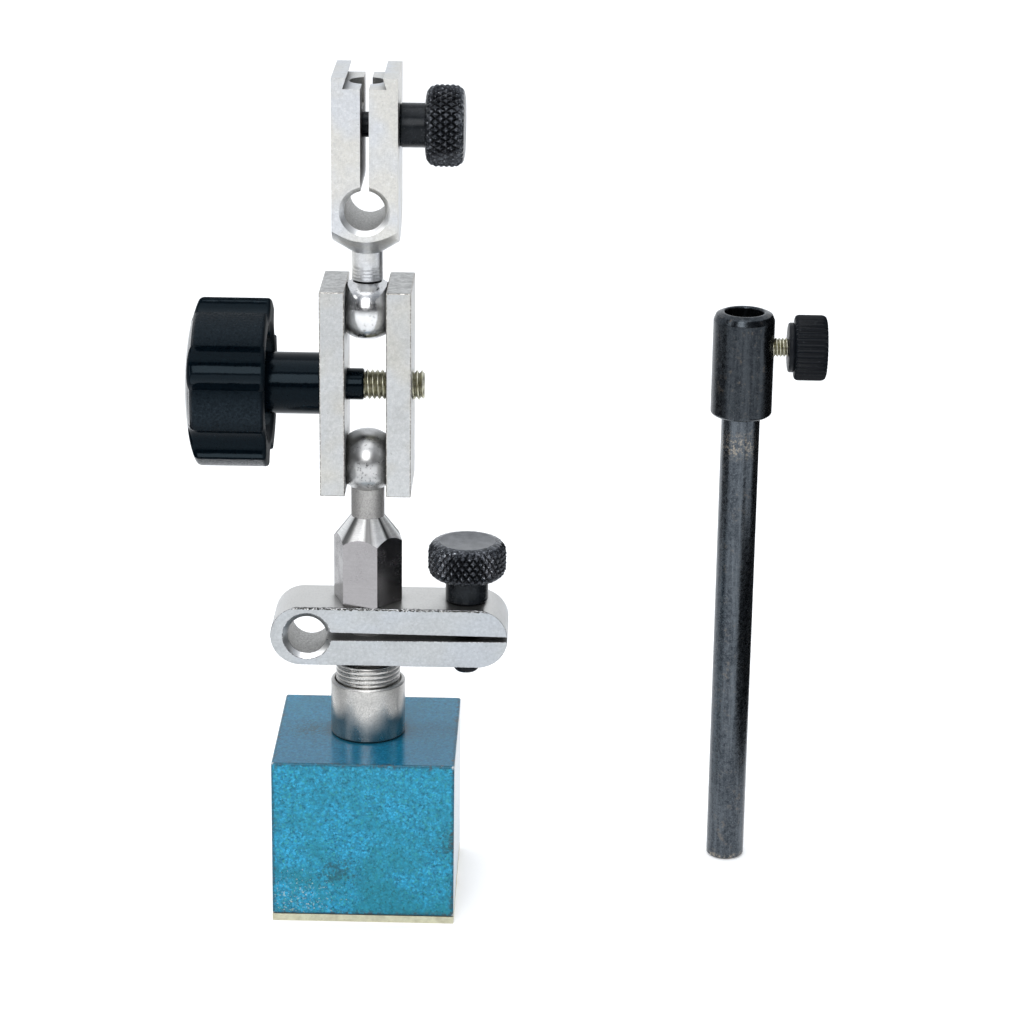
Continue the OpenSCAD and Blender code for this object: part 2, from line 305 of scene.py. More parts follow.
def knurl_band(name, radius, low, high, low_round, high_round):
    """A diamond-knurled band along +Z that follows the rounded ends of a screw's head. Its rows
    are split along the grooves. It gives the band and the radius along its two edges."""
    cell = 10       # steps in one diamond
    around = 32     # diamonds round the head
    along, depth = 2.1, 0.55
    steps = around * cell
    rows = int(round((high - low) / along * cell))
    u = np.arange(steps) / cell
    angle = ring(steps)
    drops, points = [], []
    for k in range(rows + 1):
        h = low + (high - low) * k / rows
        a = 1 - np.abs(2 * np.mod(u + k / cell, 1) - 1)
        b = 1 - np.abs(2 * np.mod(u - k / cell, 1) - 1)
        gap, size = (h - low, low_round) if h < (low + high) / 2 else (high - h, high_round)
        drop = size * (1 - math.sqrt(max(0, 1 - max(0, 1 - gap / size) ** 2)))
        fade = min(1.0, 0.15 + 1.3 * min(h - low, high - h) / min(low_round, high_round))
        sink = drop + depth * fade * (1 - np.minimum(1, 1.15 * np.minimum(a, b)))
        points += circle(radius - sink, angle, np.full(steps, h))
        drops.append(sink)
    faces = []
    for k in range(rows):
        for i in range(steps):
            j = (i + 1) % steps
            p, q, s, t = k * steps + i, k * steps + j, (k + 1) * steps + j, (k + 1) * steps + i
            if drops[k][i] + drops[k + 1][j] >= drops[k][j] + drops[k + 1][i]:
                faces += [[p, q, s], [p, s, t]]
            else:
                faces += [[p, q, t], [q, s, t]]
    return make(name, points, faces), radius - drops[0], radius - drops[-1]


# ---- material helpers

class Tree:
    """A node tree, with short calls for the nodes that the looks share."""

    def __init__(self, tree, shader):
        self.tree = tree
        self.shader = tree.nodes[shader]

    def add(self, kind, values, **settings):
        node = self.tree.nodes.new("ShaderNode" + kind)
        for key, value in settings.items():
            setattr(node, key, value)
        for key, value in values.items():
            self.put(node.inputs[key], value)
        return node

    def put(self, socket, value):
        if isinstance(value, bpy.types.NodeSocket):
            self.tree.links.new(value, socket)
        else:
            socket.default_value = value

    def vector(self, operation, a, b):
        return self.add("VectorMath", {0: a, 1: b}, operation=operation).outputs[0]

    def math(self, operation, first, *others):
        """One operation on two or more values, taken from the left."""
        for other in others or (0.0,):
            first = self.add("Math", {0: first, 1: other}, operation=operation).outputs[0]
        return first

    def times(self, *values):
        return self.math("MULTIPLY", *values)

    def plus(self, *values):
        return self.math("ADD", *values)

    def minus(self, a, b):
        return self.math("SUBTRACT", a, b)

    def most(self, *values):
        return self.math("MAXIMUM", *values)

    def least(self, *values):
        return self.math("MINIMUM", *values)

    def ramp(self, value, low, high, to_low=0.0, to_high=1.0, **settings):
        """The value's way from low to high, as a number from to_low to to_high."""
        return self.add("MapRange", {"Value": value, "From Min": low, "From Max": high,
                                     "To Min": to_low, "To Max": to_high}, **settings).outputs[0]

    def blend(self, share, a, b):
        node = self.add("Mix", {0: share}, data_type="RGBA")
        for index, value in ((6, a), (7, b)):
            value = (value,) * 3 if isinstance(value, float) else value
            self.put(node.inputs[index], (*value, 1) if isinstance(value, tuple) else value)
        return node.outputs[2]

    def parts(self, vector):
        return self.add("SeparateXYZ", {0: vector}).outputs


class Nodes(Tree):
    """A new material. color is the coat so far, and place is in millimetres."""

    def __init__(self, name):
        self.material = bpy.data.materials.new(name)
        self.material.use_nodes = True
        super().__init__(self.material.node_tree, "Principled BSDF")
        self.place = self.vector("MULTIPLY", self.add("TexCoord", {}).outputs["Object"], (1000,) * 3)
        self.color = None

    def coat(self, share, color):
        """Lays a colour over the coat so far."""
        self.color = self.blend(share, self.color, color)

    def stretched(self, x, y, z):
        return self.vector("MULTIPLY", self.place, (x, y, z))

    def noise(self, scale, detail=3.0, rough=0.55, at=None, distortion=0.0):
        values = {"Vector": at or self.place, "Scale": scale, "Detail": detail, "Roughness": rough,
                  "Distortion": distortion}
        return self.add("TexNoise", values).outputs["Fac"]

    def flakes(self, scale):
        """Three random values for each cell of a fine grain."""
        wobble = self.add("TexNoise", {"Vector": self.place, "Scale": 2.5 * scale}).outputs["Color"]
        at = self.vector("ADD", self.place, self.vector("MULTIPLY", wobble, (0.4, 0.4, 0.4)))
        node = self.add("TexVoronoi", {"Vector": at, "Scale": scale}, feature="F1")
        return self.add("SeparateColor", {0: node.outputs["Color"]}).outputs

    def crevice(self, reach, low, high):
        """1 inside slots and corners, 0 on open faces, from ambient occlusion; a colour that it
        darkens is painted shade as well as grime. reach is in millimetres.
        """
        node = self.add("AmbientOcclusion", {"Distance": reach * MM}, samples=6)
        return self.ramp(node.outputs["AO"], high, low)

    def distance(self, spot, stretch):
        """From a spot, with each axis stretched."""
        off = self.vector("MULTIPLY", self.vector("SUBTRACT", self.place, spot), stretch)
        return self.add("VectorMath", {0: off}, operation="LENGTH").outputs["Value"]

    def tube(self, x, z, radius):
        """1 on the wall of a bore along Y, 0 outside it."""
        return self.ramp(self.distance((x, 0, z), (1, 0, 1)), radius + 0.10, radius + 0.04)

    def wedges(self, count, turn):
        """1 in soft uneven wedges round Z, counted from the front; they set the dark bands of
        the cone's painted reflections. turn is in radians.
        """
        x, y, _ = self.parts(self.place)
        angle = self.math("ARCTAN2", x, self.times(y, -1.0))
        line = self.add("CombineXYZ", {0: angle}).outputs[0]
        drift = self.ramp(self.noise(1.7, 2, 0.5, line), 0.3, 0.7, -0.8, 0.8)
        wave = self.math("COSINE", self.plus(self.times(self.plus(angle, turn), float(count)), drift))
        depth = self.ramp(self.noise(2.3, 2, 0.5, line), 0.35, 0.6, 0.7, 1.0)
        return self.times(self.ramp(wave, -0.1, 0.9), depth)

    def normal_parts(self):
        normal = self.add("NewGeometry", {}).outputs["True Normal"]
        local = self.add("VectorTransform", {0: normal}, vector_type="NORMAL",
                         convert_from="WORLD", convert_to="OBJECT")
        return self.parts(local.outputs[0])

    def bump(self, height, distance, strength=1.0, under=None):
        """distance is in millimetres. under is a bump that this one lies on."""
        values = {"Height": height, "Distance": distance * MM, "Strength": strength}
        if under is not None:
            values["Normal"] = under
        return self.add("Bump", values).outputs["Normal"]

    def finish(self, rough, metal, normal=None, specular=0.5):
        """Links the coat so far and gives the material."""
        values = {"Base Color": self.color, "Roughness": rough, "Metallic": metal}
        if normal is not None:
            values["Normal"] = normal
        for key, value in values.items():
            self.put(self.shader.inputs[key], value)
        self.shader.inputs["Specular IOR Level"].default_value = specular
        return self.material


# ---- finishes

def scaled(tone, by):
    """A tone times a number, or times one number for each channel."""
    return tuple(np.multiply(tone, by))


def hammertone(n, fine, grain, low):
    """Mottled blue with a fine flake in three tones, greener low down. It gives the flake's
    glint."""
    broad = n.noise(0.13, 3, 0.6)
    dark, glint, tint = n.flakes(2.7)
    n.color = n.blend(n.ramp(fine, 0.38, 0.62), (0.003, 0.15, 0.245), (0.016, 0.34, 0.575))
    n.coat(n.ramp(dark, 0.5, 0.0, 0, 0.55), (0.001, 0.075, 0.13))
    n.coat(n.ramp(glint, 0.7, 1.0, 0, 0.7), (0.045, 0.46, 0.76))
    n.coat(n.ramp(tint, 0.78, 1.0, 0, 0.6), (0.035, 0.33, 0.28))
    n.coat(n.ramp(grain, 0.45, 0.34, 0, 0.5), (0.001, 0.07, 0.12))
    green = n.times(n.ramp(broad, 0.42, 0.6), n.ramp(low, 0.1, 0.8, 0.3, 0.85))
    n.coat(n.times(green, 0.75), (0.006, 0.2, 0.26))
    n.coat(n.times(n.ramp(tint, 0.35, 0.0, 0, 0.7), green), (0.003, 0.085, 0.095))
    return glint


def pale_specks(n, lo):
    """Mostly low on the left of the front face."""
    reach = n.distance((lo[0] + 5, lo[1], lo[2] + 3), (0.7, 1, 1))
    specks = n.ramp(n.plus(n.noise(1.5, 5, 0.8), n.ramp(reach, 10, 2, -0.09, 0.01)), 0.56, 0.64)
    specks = n.times(specks, n.ramp(reach, 11, 8))
    n.coat(n.times(specks, 0.7), (0.56, 0.62, 0.52))


def smudges(n, lo, hi):
    """Dark marks: on the top left of the post, low on the front left of the middle, and along
    the front's right edge."""
    for spot, width in (((lo[0] + 7.0, -0.5, hi[2]), 2.0), ((-5.0, lo[1], lo[2] + 9.5), 2.4),
                        ((hi[0] - 0.4, lo[1], lo[2] + 16.0), 2.2)):
        smudge = n.plus(n.distance(spot, (0.8, 0.8, 1)),
                        n.ramp(n.noise(1.3, 5, 0.8), 0.3, 0.7, -5.0, 5.0))
        n.coat(n.ramp(smudge, width, width - 1.5, 0, 0.6), (0.01, 0.05, 0.055))


def rubbed_edges(n, x, y, z, lo, hi):
    """Shadow, rust and bare steel along the block's edges, from the gap to the nearest two faces,
    and on its X sides. It gives where the steel is bare."""
    gap_x = n.minus(hi[0], n.math("ABSOLUTE", x))
    gap_y = n.minus(hi[1], n.math("ABSOLUTE", y))
    gap_z = n.least(n.minus(hi[2], z), n.minus(z, lo[2]))
    pair = n.least(n.plus(gap_x, gap_y), n.least(n.plus(gap_x, gap_z), n.plus(gap_y, gap_z)))
    ragged = n.noise(0.9, 5, 0.75)
    shadow = n.ramp(n.minus(pair, n.ramp(ragged, 0.35, 0.75, 0, 0.7)), 0.4, 0.1, 0, 0.7)
    n.coat(shadow, (0.006, 0.06, 0.095))
    rust = n.times(n.ramp(n.noise(0.35, 4, 0.7), 0.5, 0.6), n.ramp(ragged, 0.44, 0.54))
    rust = n.times(rust, n.ramp(pair, 1.3, 0.5, 0, 0.8))
    n.coat(rust, (0.05, 0.05, 0.045))
    chip = n.ramp(n.noise(0.5, 5, 0.75), 0.6, 0.64)
    edge = n.ramp(n.minus(pair, n.ramp(ragged, 0.4, 0.8, -0.1, 0.5)), 0.12, 0.0)
    corner = n.plus(gap_x, gap_y, gap_z)
    nick = n.ramp(n.minus(corner, n.ramp(ragged, 0.35, 0.75, 0, 1.2)), 0.5, 0.1)
    bare = n.most(n.times(edge, chip), nick)
    side = n.ramp(n.math("ABSOLUTE", n.normal_parts()[0]), 0.85, 0.95)
    side = n.times(side, n.ramp(gap_x, 0.12, 0.08))
    bare = n.most(bare, side)
    lines = n.noise(2.0, 3, 0.6, n.stretched(1, 0.06, 3.0))
    steel = n.blend(lines, (0.5, 0.54, 0.56), (0.72, 0.76, 0.79))
    steel = n.blend(n.ramp(n.noise(1.4, 4, 0.7), 0.62, 0.7, 0, 0.8), steel, (0.1, 0.11, 0.11))
    n.coat(bare, steel)
    return bare


def blue_paint(lo, hi):
    """Blue hammertone on the front, back and top, rubbed at the edges. The two X sides are bare
    ground steel. The top face carries painted shade, darkest towards the front, and slots and
    corners are darkened by grime and painted shade."""
    n = Nodes("blue_paint")
    x, y, z = n.parts(n.place)
    top = n.ramp(n.normal_parts()[2], 0.85, 0.95)
    fine = n.noise(1.1, 5, 0.72)
    grain = n.noise(2.3, 4, 0.72)
    glint = hammertone(n, fine, grain, n.ramp(z, hi[2], lo[2]))
    pale_specks(n, lo)
    # painted shade: the top face is darkened, most towards the front
    painted_top_shade = n.times(top, n.ramp(y, hi[1], lo[1], 0.5, 0.72))
    n.coat(painted_top_shade, (0.002, 0.075, 0.155))
    smudges(n, lo, hi)
    bare = rubbed_edges(n, x, y, z, lo, hi)
    # painted shade and grime: slots and corners darkened from ambient occlusion
    n.coat(n.crevice(4, 0.45, 0.8), (0.01, 0.05, 0.075))
    paint_gloss = n.blend(top, n.ramp(fine, 0.3, 0.7, 0.24, 0.4), n.ramp(fine, 0.3, 0.7, 0.07, 0.16))
    rough = n.blend(bare, paint_gloss, 0.36)
    calm = n.ramp(top, 0, 1, 1, 0.3)
    hammer = n.bump(n.noise(0.9, 2, 0.5), 0.03, calm)
    hammer = n.bump(n.plus(n.times(glint, 0.3), grain), 0.02, calm, under=hammer)
    return n.finish(rough, n.times(bare, 0.9), hammer, specular=0.3)


def steel_edge(name, dull, bright):
    """Broken edges of the ground pieces, rough with a few bright spots."""
    n = Nodes(name)
    spots = n.noise(2.2, 4, 0.7)
    n.color = n.blend(n.ramp(spots, 0.46, 0.62), dull, bright)
    return n.finish(n.ramp(spots, 0.3, 0.7, 0.5, 0.3), 1.0, n.bump(spots, 0.06))


def plate_tones(n, tone, tint, scratch, stipple, cloud):
    """The plate's colour, with scratches, grain, clouds and a faint tint."""
    warm = n.noise(0.1, 2, 0.5)
    cool = scaled(tone, (1 - 0.05 * tint, 1 - 0.02 * tint, 1 + 0.02 * tint))
    sand = scaled(tone, (1 + 0.02 * tint, 1, 1 - 0.07 * tint))
    n.color = n.blend(n.ramp(warm, 0.42, 0.6), cool, sand)
    n.coat(n.ramp(scratch, 0.35, 0.75, 0.0, 0.22), scaled(tone, 0.6))
    n.coat(n.ramp(stipple, 0.4, 0.75, 0, 0.3), scaled(tone, 0.66))
    n.coat(n.ramp(cloud, 0.48, 0.75, 0, 0.25), scaled(tone, 0.74))
    mottle = n.noise(1.6, 5, 0.8)
    n.coat(n.ramp(mottle, 0.5, 0.62, 0, 0.38), scaled(tone, 0.66))
    n.coat(n.ramp(mottle, 0.46, 0.36, 0, 0.6), scaled(tone, 1.13))


def bruised_edge(n, y, z):
    """Dark bruises with bright sparks along a long edge."""
    off = n.plus(n.distance((0, y, z), (0, 1, 1)),
                 n.ramp(n.noise(1.2, 5, 0.75), 0.35, 0.65, -0.25, 0.25))
    line = n.ramp(off, 0.48, 0.36)
    spark = n.ramp(n.noise(3.2, 4, 0.75), 0.54, 0.58)
    n.coat(line, n.blend(spark, (0.022, 0.02, 0.018), (0.8, 0.8, 0.78)))


def plated_steel(name, grain, tone, rough, tint, bores=(), grime=0.0, bruise=None, top=None):
    """Zinc plate over a ground face: fine scratches along one axis and a faint tint, with dull
    drilled bores, and slots and corners darkened by grime and painted shade. bores are the X, Z
    and radius of each; the lower sides of their countersinks carry a painted highlight. grime
    darkens the faces that point up. bruise is the Y and Z of a bruised long edge. top is a lighter
    tone painted on the faces that point up, as painted light."""
    n = Nodes(name)
    scratch = n.noise(6.0, 4, 0.7, n.stretched(*grain))
    stipple = n.noise(3.6, 4, 0.7)
    cloud = n.noise(0.2, 4, 0.6)
    plate_tones(n, tone, tint, scratch, stipple, cloud)
    _, along, up = n.normal_parts()
    # painted light: the faces that point up take the lighter top tone
    if top:
        painted_top_light_and_grime = n.ramp(up, 0.1, 0.9)
        n.coat(painted_top_light_and_grime, n.blend(n.ramp(stipple, 0.4, 0.75), top, scaled(top, 0.8)))
    pits = n.ramp(n.noise(2.2, 4, 0.78), 0.66, 0.7, 0, 0.7)
    n.coat(pits, (0.1, 0.095, 0.09))
    finish = n.ramp(n.plus(n.times(stipple, 0.5), n.times(cloud, 0.5)), 0.3, 0.7, rough - 0.06,
                    rough + 0.1)
    inside = 0.0
    for x, z, radius in bores:
        inside = n.most(inside, n.tube(x, z, radius))
    speckle = n.noise(2.5, 4, 0.75)
    drilled = n.blend(n.ramp(speckle, 0.35, 0.65), (0.26, 0.255, 0.245), (0.56, 0.555, 0.54))
    n.coat(inside, drilled)
    if grime:
        painted_top_light_and_grime = n.ramp(up, 0.8, 0.95, 0, grime)
        painted_top_light_and_grime = n.times(painted_top_light_and_grime, n.ramp(n.noise(0.7, 5, 0.75), 0.33, 0.7))
        n.coat(painted_top_light_and_grime, (0.15, 0.145, 0.14))
    if bruise:
        bruised_edge(n, *bruise)
    if bores:
        # painted highlight: the lower sides of the countersinks, which face up, are painted near
        # white
        sink = n.times(n.ramp(up, 0.25, 0.5), n.ramp(n.math("ABSOLUTE", along), 0.6, 0.68))
        sink = n.times(sink, n.ramp(up, 0.8, 0.75))
        n.coat(n.times(sink, 0.9), (0.97, 0.97, 0.96))
    # painted shade and grime: slots and corners darkened from ambient occlusion, less inside the
    # bores
    dirt_and_shade = n.times(n.crevice(3.0, 0.25, 0.75), n.ramp(inside, 0, 1, 1, 0.25))
    n.coat(n.times(dirt_and_shade, 0.92), (0.03, 0.028, 0.026))
    finish = n.blend(n.most(inside, dirt_and_shade), finish, 0.5)
    normal = n.bump(n.plus(scratch, stipple), 0.01)
    normal = n.bump(n.times(speckle, inside), 0.05, under=normal)
    return n.finish(finish, 1.0, normal)


def turned_steel(name, tone, rough, mottle, cone=None):
    """Steel from the lathe: fine rings about Z, a soft bloom, scattered dark pits, and grime and
    painted shade in the corners. cone is the height of a rougher turned cone, low and high, which
    carries painted reflections in bright and dark wedges."""
    n = Nodes(name)
    rings = n.noise(1.0, 4, 0.65, n.stretched(0.22, 0.22, 8))
    cloud = n.noise(0.25, 3, 0.55)
    stipple = n.noise(3.2, 4, 0.75)
    n.color = n.blend(n.ramp(cloud, 0.4, 0.7, 0, mottle), tone, scaled(tone, 0.62))
    if cone:
        z = n.parts(n.place)[2]
        slope = n.ramp(n.normal_parts()[2], 0.2, 0.35)
        slope = n.times(slope, n.ramp(z, cone[0], cone[0] + 0.3))
        slope = n.times(slope, n.ramp(z, cone[1] + 0.2, cone[1]))
        # painted reflections: bright and dark wedges round the cone's slope
        n.coat(slope, n.blend(n.wedges(8, -0.06), (0.93, 0.925, 0.91), (0.035, 0.035, 0.035)))
    n.coat(n.ramp(rings, 0.35, 0.7, 0, 0.25), scaled(tone, 0.6))
    n.coat(n.ramp(stipple, 0.44, 0.62, 0, 1.6 * mottle), scaled(tone, 0.42))
    spots = n.times(n.ramp(n.noise(1.9, 4, 0.75), 0.66, 0.71),
                    n.ramp(n.noise(0.5, 2, 0.5), 0.48, 0.58))
    n.coat(n.times(spots, 2 * mottle), (0.16, 0.15, 0.13))
    # painted shade and grime: corners darkened from ambient occlusion
    dirt_and_shade = n.crevice(1.0, 0.2, 0.7)
    n.coat(n.times(dirt_and_shade, 0.5), (0.1, 0.09, 0.075))
    finish = n.ramp(n.plus(cloud, n.times(stipple, 0.5)), 0.5, 1.0, rough - 0.04, rough + 0.1)
    if cone:
        finish = n.blend(slope, finish, 0.38)
    normal = n.bump(rings, 0.004)
    normal = n.bump(stipple, 0.006, under=normal)
    return n.finish(finish, 1.0, normal)


def ball_steel():
    """Polished balls with pits and a few stains."""
    n = Nodes("ball_steel")
    cloud = n.noise(0.45, 4, 0.6)
    n.color = n.blend(n.ramp(cloud, 0.42, 0.7, 0, 0.5), (0.66, 0.665, 0.67), (0.42, 0.42, 0.415))
    z = n.parts(n.place)[2]
    worn = n.ramp(z, 100.0, 120.0, 0.6, 0.0)
    n.coat(worn, (0.36, 0.36, 0.355))    # the lower ball is duller
    pits = n.ramp(n.noise(2.1, 4, 0.75), 0.59, 0.63)
    pits = n.times(pits, n.ramp(n.noise(0.3, 2, 0.5), 0.44, 0.54))
    pits = n.times(pits, n.plus(0.4, worn))
    n.coat(n.times(pits, 0.9), (0.05, 0.045, 0.04))
    # painted shade and grime: corners darkened from ambient occlusion
    dirt_and_shade = n.crevice(2.0, 0.15, 0.6)
    n.coat(n.times(dirt_and_shade, 0.7), (0.05, 0.045, 0.04))
    upper = n.ramp(z, 105.0, 115.0)
    finish = n.blend(upper, n.ramp(cloud, 0.3, 0.7, 0.26, 0.36), n.ramp(cloud, 0.3, 0.7, 0.15, 0.24))
    normal = n.bump(n.times(pits, -1.0), 0.05)
    normal = n.bump(n.noise(2.2, 4, 0.7), 0.01, under=normal)
    return n.finish(finish, 1.0, normal)


def black_oxide():
    """Black oxide on a machined screw: blue-black, paler where it is rubbed."""
    n = Nodes("black_oxide")
    cloud = n.noise(0.6, 4, 0.6)
    fine = n.noise(4.0, 4, 0.75)
    n.color = n.blend(n.ramp(cloud, 0.35, 0.7), (0.004, 0.006, 0.008), (0.012, 0.015, 0.019))
    rubbed = n.ramp(n.noise(1.5, 5, 0.8), 0.6, 0.68, 0, 0.4)
    n.coat(rubbed, (0.1, 0.105, 0.11))
    finish = n.ramp(n.plus(cloud, n.times(fine, 0.4)), 0.45, 0.95, 0.16, 0.34)
    return n.finish(finish, 0.2, n.bump(fine, 0.016), specular=0.16)


def knurled_oxide():
    """Black oxide on the knurls, with sparkling facets, worn crests, and roots darkened by grime and
    painted shade.
    """
    n = Nodes("knurled_oxide")
    fine = n.noise(4.0, 4, 0.75)
    patch = n.noise(1.3, 4, 0.7)
    n.color = n.blend(n.ramp(patch, 0.4, 0.6), (0.012, 0.015, 0.02), (0.085, 0.092, 0.105))
    worn = n.ramp(n.noise(2.6, 5, 0.8), 0.59, 0.65, 0, 0.85)
    n.coat(worn, (0.55, 0.58, 0.62))
    # painted shade and grime: the knurl's roots darkened from ambient occlusion
    dirt_and_shade = n.crevice(1.0, 0.64, 0.97)
    n.coat(n.times(dirt_and_shade, 0.92), (0.003, 0.003, 0.004))
    return n.finish(n.ramp(fine, 0.35, 0.65, 0.12, 0.28), 0.75, n.bump(fine, 0.03), specular=0.6)


def rubbed_oxide():
    """The flat end of a thumb screw, where fingers have polished the black."""
    n = Nodes("rubbed_oxide")
    cloud = n.noise(0.5, 4, 0.65)
    fine = n.noise(4.5, 4, 0.75)
    n.color = n.blend(n.ramp(cloud, 0.35, 0.7), (0.1, 0.105, 0.112), (0.17, 0.175, 0.185))
    n.coat(n.ramp(fine, 0.5, 0.75, 0, 0.5), (0.06, 0.063, 0.068))
    return n.finish(n.ramp(fine, 0.3, 0.7, 0.26, 0.38), 0.8, n.bump(fine, 0.008))


def lobe_mask(n):
    """1 on the outer faces of the star knob's lobes, and 1 on its back outside the hub."""
    lo, hi = box("star_knob")
    back = lo[0] + 16.2
    reach = n.distance((0, 0, middle("star_knob")[2]), (0, 1, 1))
    rim = n.ramp(reach, hi[1] - 0.35, hi[1] - 0.12)
    x = n.parts(n.place)[0]
    behind = n.times(n.ramp(x, back - 0.3, back + 0.3), n.ramp(reach, 6.6, 7.2))
    return n.times(rim, n.ramp(x, back + 1.3, back)), n.ramp(behind, 0, 1)


def gloss_plastic():
    """Moulded black plastic: smooth in the scallops, with a fine leathery grain on the lobes, and a
    painted highlight on the middle of each lobe, stronger low on the knob.
    """
    n = Nodes("gloss_plastic")
    ripple = n.noise(0.35, 2, 0.5)
    grain = n.noise(1.9, 4, 0.7, distortion=0.6)
    dust = n.ramp(n.noise(5.0, 3, 0.75), 0.7, 0.76, 0, 0.25)
    lobe, rear = lobe_mask(n)
    n.color = n.blend(n.ramp(grain, 0.35, 0.7), (0.0006, 0.0016, 0.003), (0.002, 0.005, 0.008))
    n.coat(dust, (0.05, 0.075, 0.09))
    lo, hi = box("star_knob")
    _, y, z = n.parts(n.place)
    # painted highlight: the middle of each lobe is painted lighter, more so low on the knob
    low = n.ramp(z, hi[2] - 8, lo[2] + 10, 0.35, 1.0)
    angle = n.math("ARCTAN2", y, n.minus(z, middle("star_knob")[2]))
    crest = n.math("COSINE", n.times(n.minus(angle, LOBE_TURN), 6.0))
    crest = n.times(lobe, n.ramp(crest, 0.1, 0.95))
    light = n.times(n.ramp(grain, 0.3, 0.66), crest, low)
    n.coat(light, (0.017, 0.024, 0.031))
    finish = n.blend(crest, 0.12, n.ramp(grain, 0.4, 0.62, 0.12, 0.3))
    finish = n.blend(rear, finish, 0.62)
    normal = n.bump(ripple, 0.05)
    normal = n.bump(n.times(grain, lobe), 0.2, under=normal)
    n.shader.inputs["Specular Tint"].default_value = (0.62, 0.84, 1.0, 1.0)
    return n.finish(finish, 0.0, normal, specular=0.09)


def satin_plastic():
    """Moulded satin black plastic of the small ridged knob."""
    n = Nodes("satin_plastic")
    fine = n.noise(4.0, 4, 0.7)
    n.color = n.blend(fine, (0.002, 0.003, 0.005), (0.008, 0.01, 0.013))
    rub = n.ramp(n.noise(1.6, 4, 0.75), 0.61, 0.7, 0, 0.35)
    n.coat(rub, (0.09, 0.1, 0.11))
    return n.finish(n.ramp(fine, 0.3, 0.7, 0.3, 0.46), 0.0, n.bump(fine, 0.02), specular=0.12)


def black_rod():
    """Blackened rod: streaked along its length, with brown and bright worn specks."""
    n = Nodes("black_rod")
    z = n.parts(n.place)[2]
    neck = 100.0    # height of the head's underside
    streak = n.noise(0.9, 4, 0.65, n.stretched(1, 1, 0.05))
    mottle = n.noise(1.1, 5, 0.7)
    fine = n.noise(3.6, 4, 0.75)
    n.color = n.blend(n.ramp(mottle, 0.38, 0.66), (0.03, 0.036, 0.044), (0.085, 0.098, 0.112))
    n.coat(n.ramp(fine, 0.52, 0.66, 0, 0.6), (0.17, 0.19, 0.21))
    n.coat(n.ramp(streak, 0.47, 0.62, 0, 0.45), (0.15, 0.17, 0.19))
    n.coat(n.ramp(z, neck - 1, neck + 1, 0, 0.55), (0.004, 0.005, 0.006))
    rust = n.times(n.ramp(n.noise(0.55, 5, 0.75), 0.58, 0.66), 0.3)
    n.coat(rust, (0.19, 0.145, 0.1))
    specks = n.times(n.ramp(n.noise(1.7, 4, 0.8), 0.69, 0.72),
                     n.ramp(n.noise(0.12, 2, 0.5), 0.5, 0.56))
    # worn at the foot and just under the head
    chips = n.ramp(n.noise(1.3, 5, 0.8), 0.5, 0.58)
    under_head = n.times(n.ramp(z, neck - 9.5, neck - 7), n.ramp(z, neck - 2.5, neck - 5, 0, 0.7))
    worn = n.most(n.ramp(z, 1.6, 0.6), under_head)
    specks = n.most(specks, n.times(chips, worn))
    n.coat(n.times(specks, 0.85), (0.42, 0.37, 0.3))
    finish = n.ramp(mottle, 0.3, 0.7, 0.2, 0.34)
    normal = n.bump(fine, 0.012)
    normal = n.bump(n.noise(0.5, 3, 0.6), 0.04, under=normal)
    return n.finish(finish, 0.97, normal, specular=0.4)


def yellow_zinc():
    """Yellow passivated zinc on the studs, darkened by grime and painted shade in the thread roots.
    """
    n = Nodes("yellow_zinc")
    cloud = n.noise(1.2, 4, 0.65)
    n.color = n.blend(n.ramp(cloud, 0.35, 0.7), (0.48, 0.465, 0.33), (0.7, 0.69, 0.6))
    grime = n.ramp(n.noise(2.8, 4, 0.7), 0.56, 0.7, 0, 0.6)
    n.coat(grime, (0.2, 0.18, 0.11))
    # painted shade and grime: the thread roots darkened from ambient occlusion
    dirt_and_shade = n.crevice(0.8, 0.3, 0.8)
    n.coat(n.times(dirt_and_shade, 0.8), (0.07, 0.06, 0.03))
    return n.finish(n.ramp(cloud, 0.3, 0.7, 0.26, 0.42), 1.0, n.bump(cloud, 0.01))


def pole_steel():
    """Pole plates: ground steel under a yellowed lacquer."""
    n = Nodes("pole_steel")
    cloud = n.noise(0.5, 4, 0.65)
    lines = n.noise(2.5, 3, 0.6, n.stretched(0.08, 1, 3.0))
    n.color = n.blend(n.ramp(cloud, 0.35, 0.68), (0.66, 0.64, 0.46), (0.5, 0.47, 0.33))
    n.coat(n.ramp(lines, 0.5, 0.75, 0, 0.35), (0.76, 0.77, 0.72))
    stain = n.ramp(n.noise(1.3, 4, 0.75), 0.62, 0.72, 0, 0.55)
    n.coat(stain, (0.3, 0.27, 0.2))
    return n.finish(n.ramp(cloud, 0.3, 0.7, 0.34, 0.52), 0.55, n.bump(lines, 0.015))


def plain_metal(name, dark, light, rough, metal=1.0):
    """Hidden or small pieces: brass strips, magnets and pole screws."""
    n = Nodes(name)
    cloud = n.noise(0.8, 4, 0.65)
    lines = n.noise(2.0, 3, 0.6, n.stretched(0.1, 1, 1))
    n.color = n.blend(n.ramp(cloud, 0.35, 0.7), dark, light)
    return n.finish(n.ramp(cloud, 0.3, 0.7, rough - 0.06, rough + 0.1), metal, n.bump(lines, 0.012))


# ---- pieces: base

def base_housing():
    """Square block with rounded edges and a pocket for the magnets."""
    lo, hi = box("base_housing")
    magnets = [box("magnet_front")[0], box("magnet_rear")[1]]
    obj = block("housing_body", lo, hi)
    pocket = block("pocket", [magnets[0][0], magnets[0][1], lo[2] - 5], magnets[1])
    post = lathe("post_hole", [(0, hi[2] - 9.5), (4, hi[2] - 9.5), (4, hi[2] + 1),
                               (0, hi[2] + 1)], 64, 0)
    carve(obj, [pocket, post])
    return soften(obj, 0.42, 4)


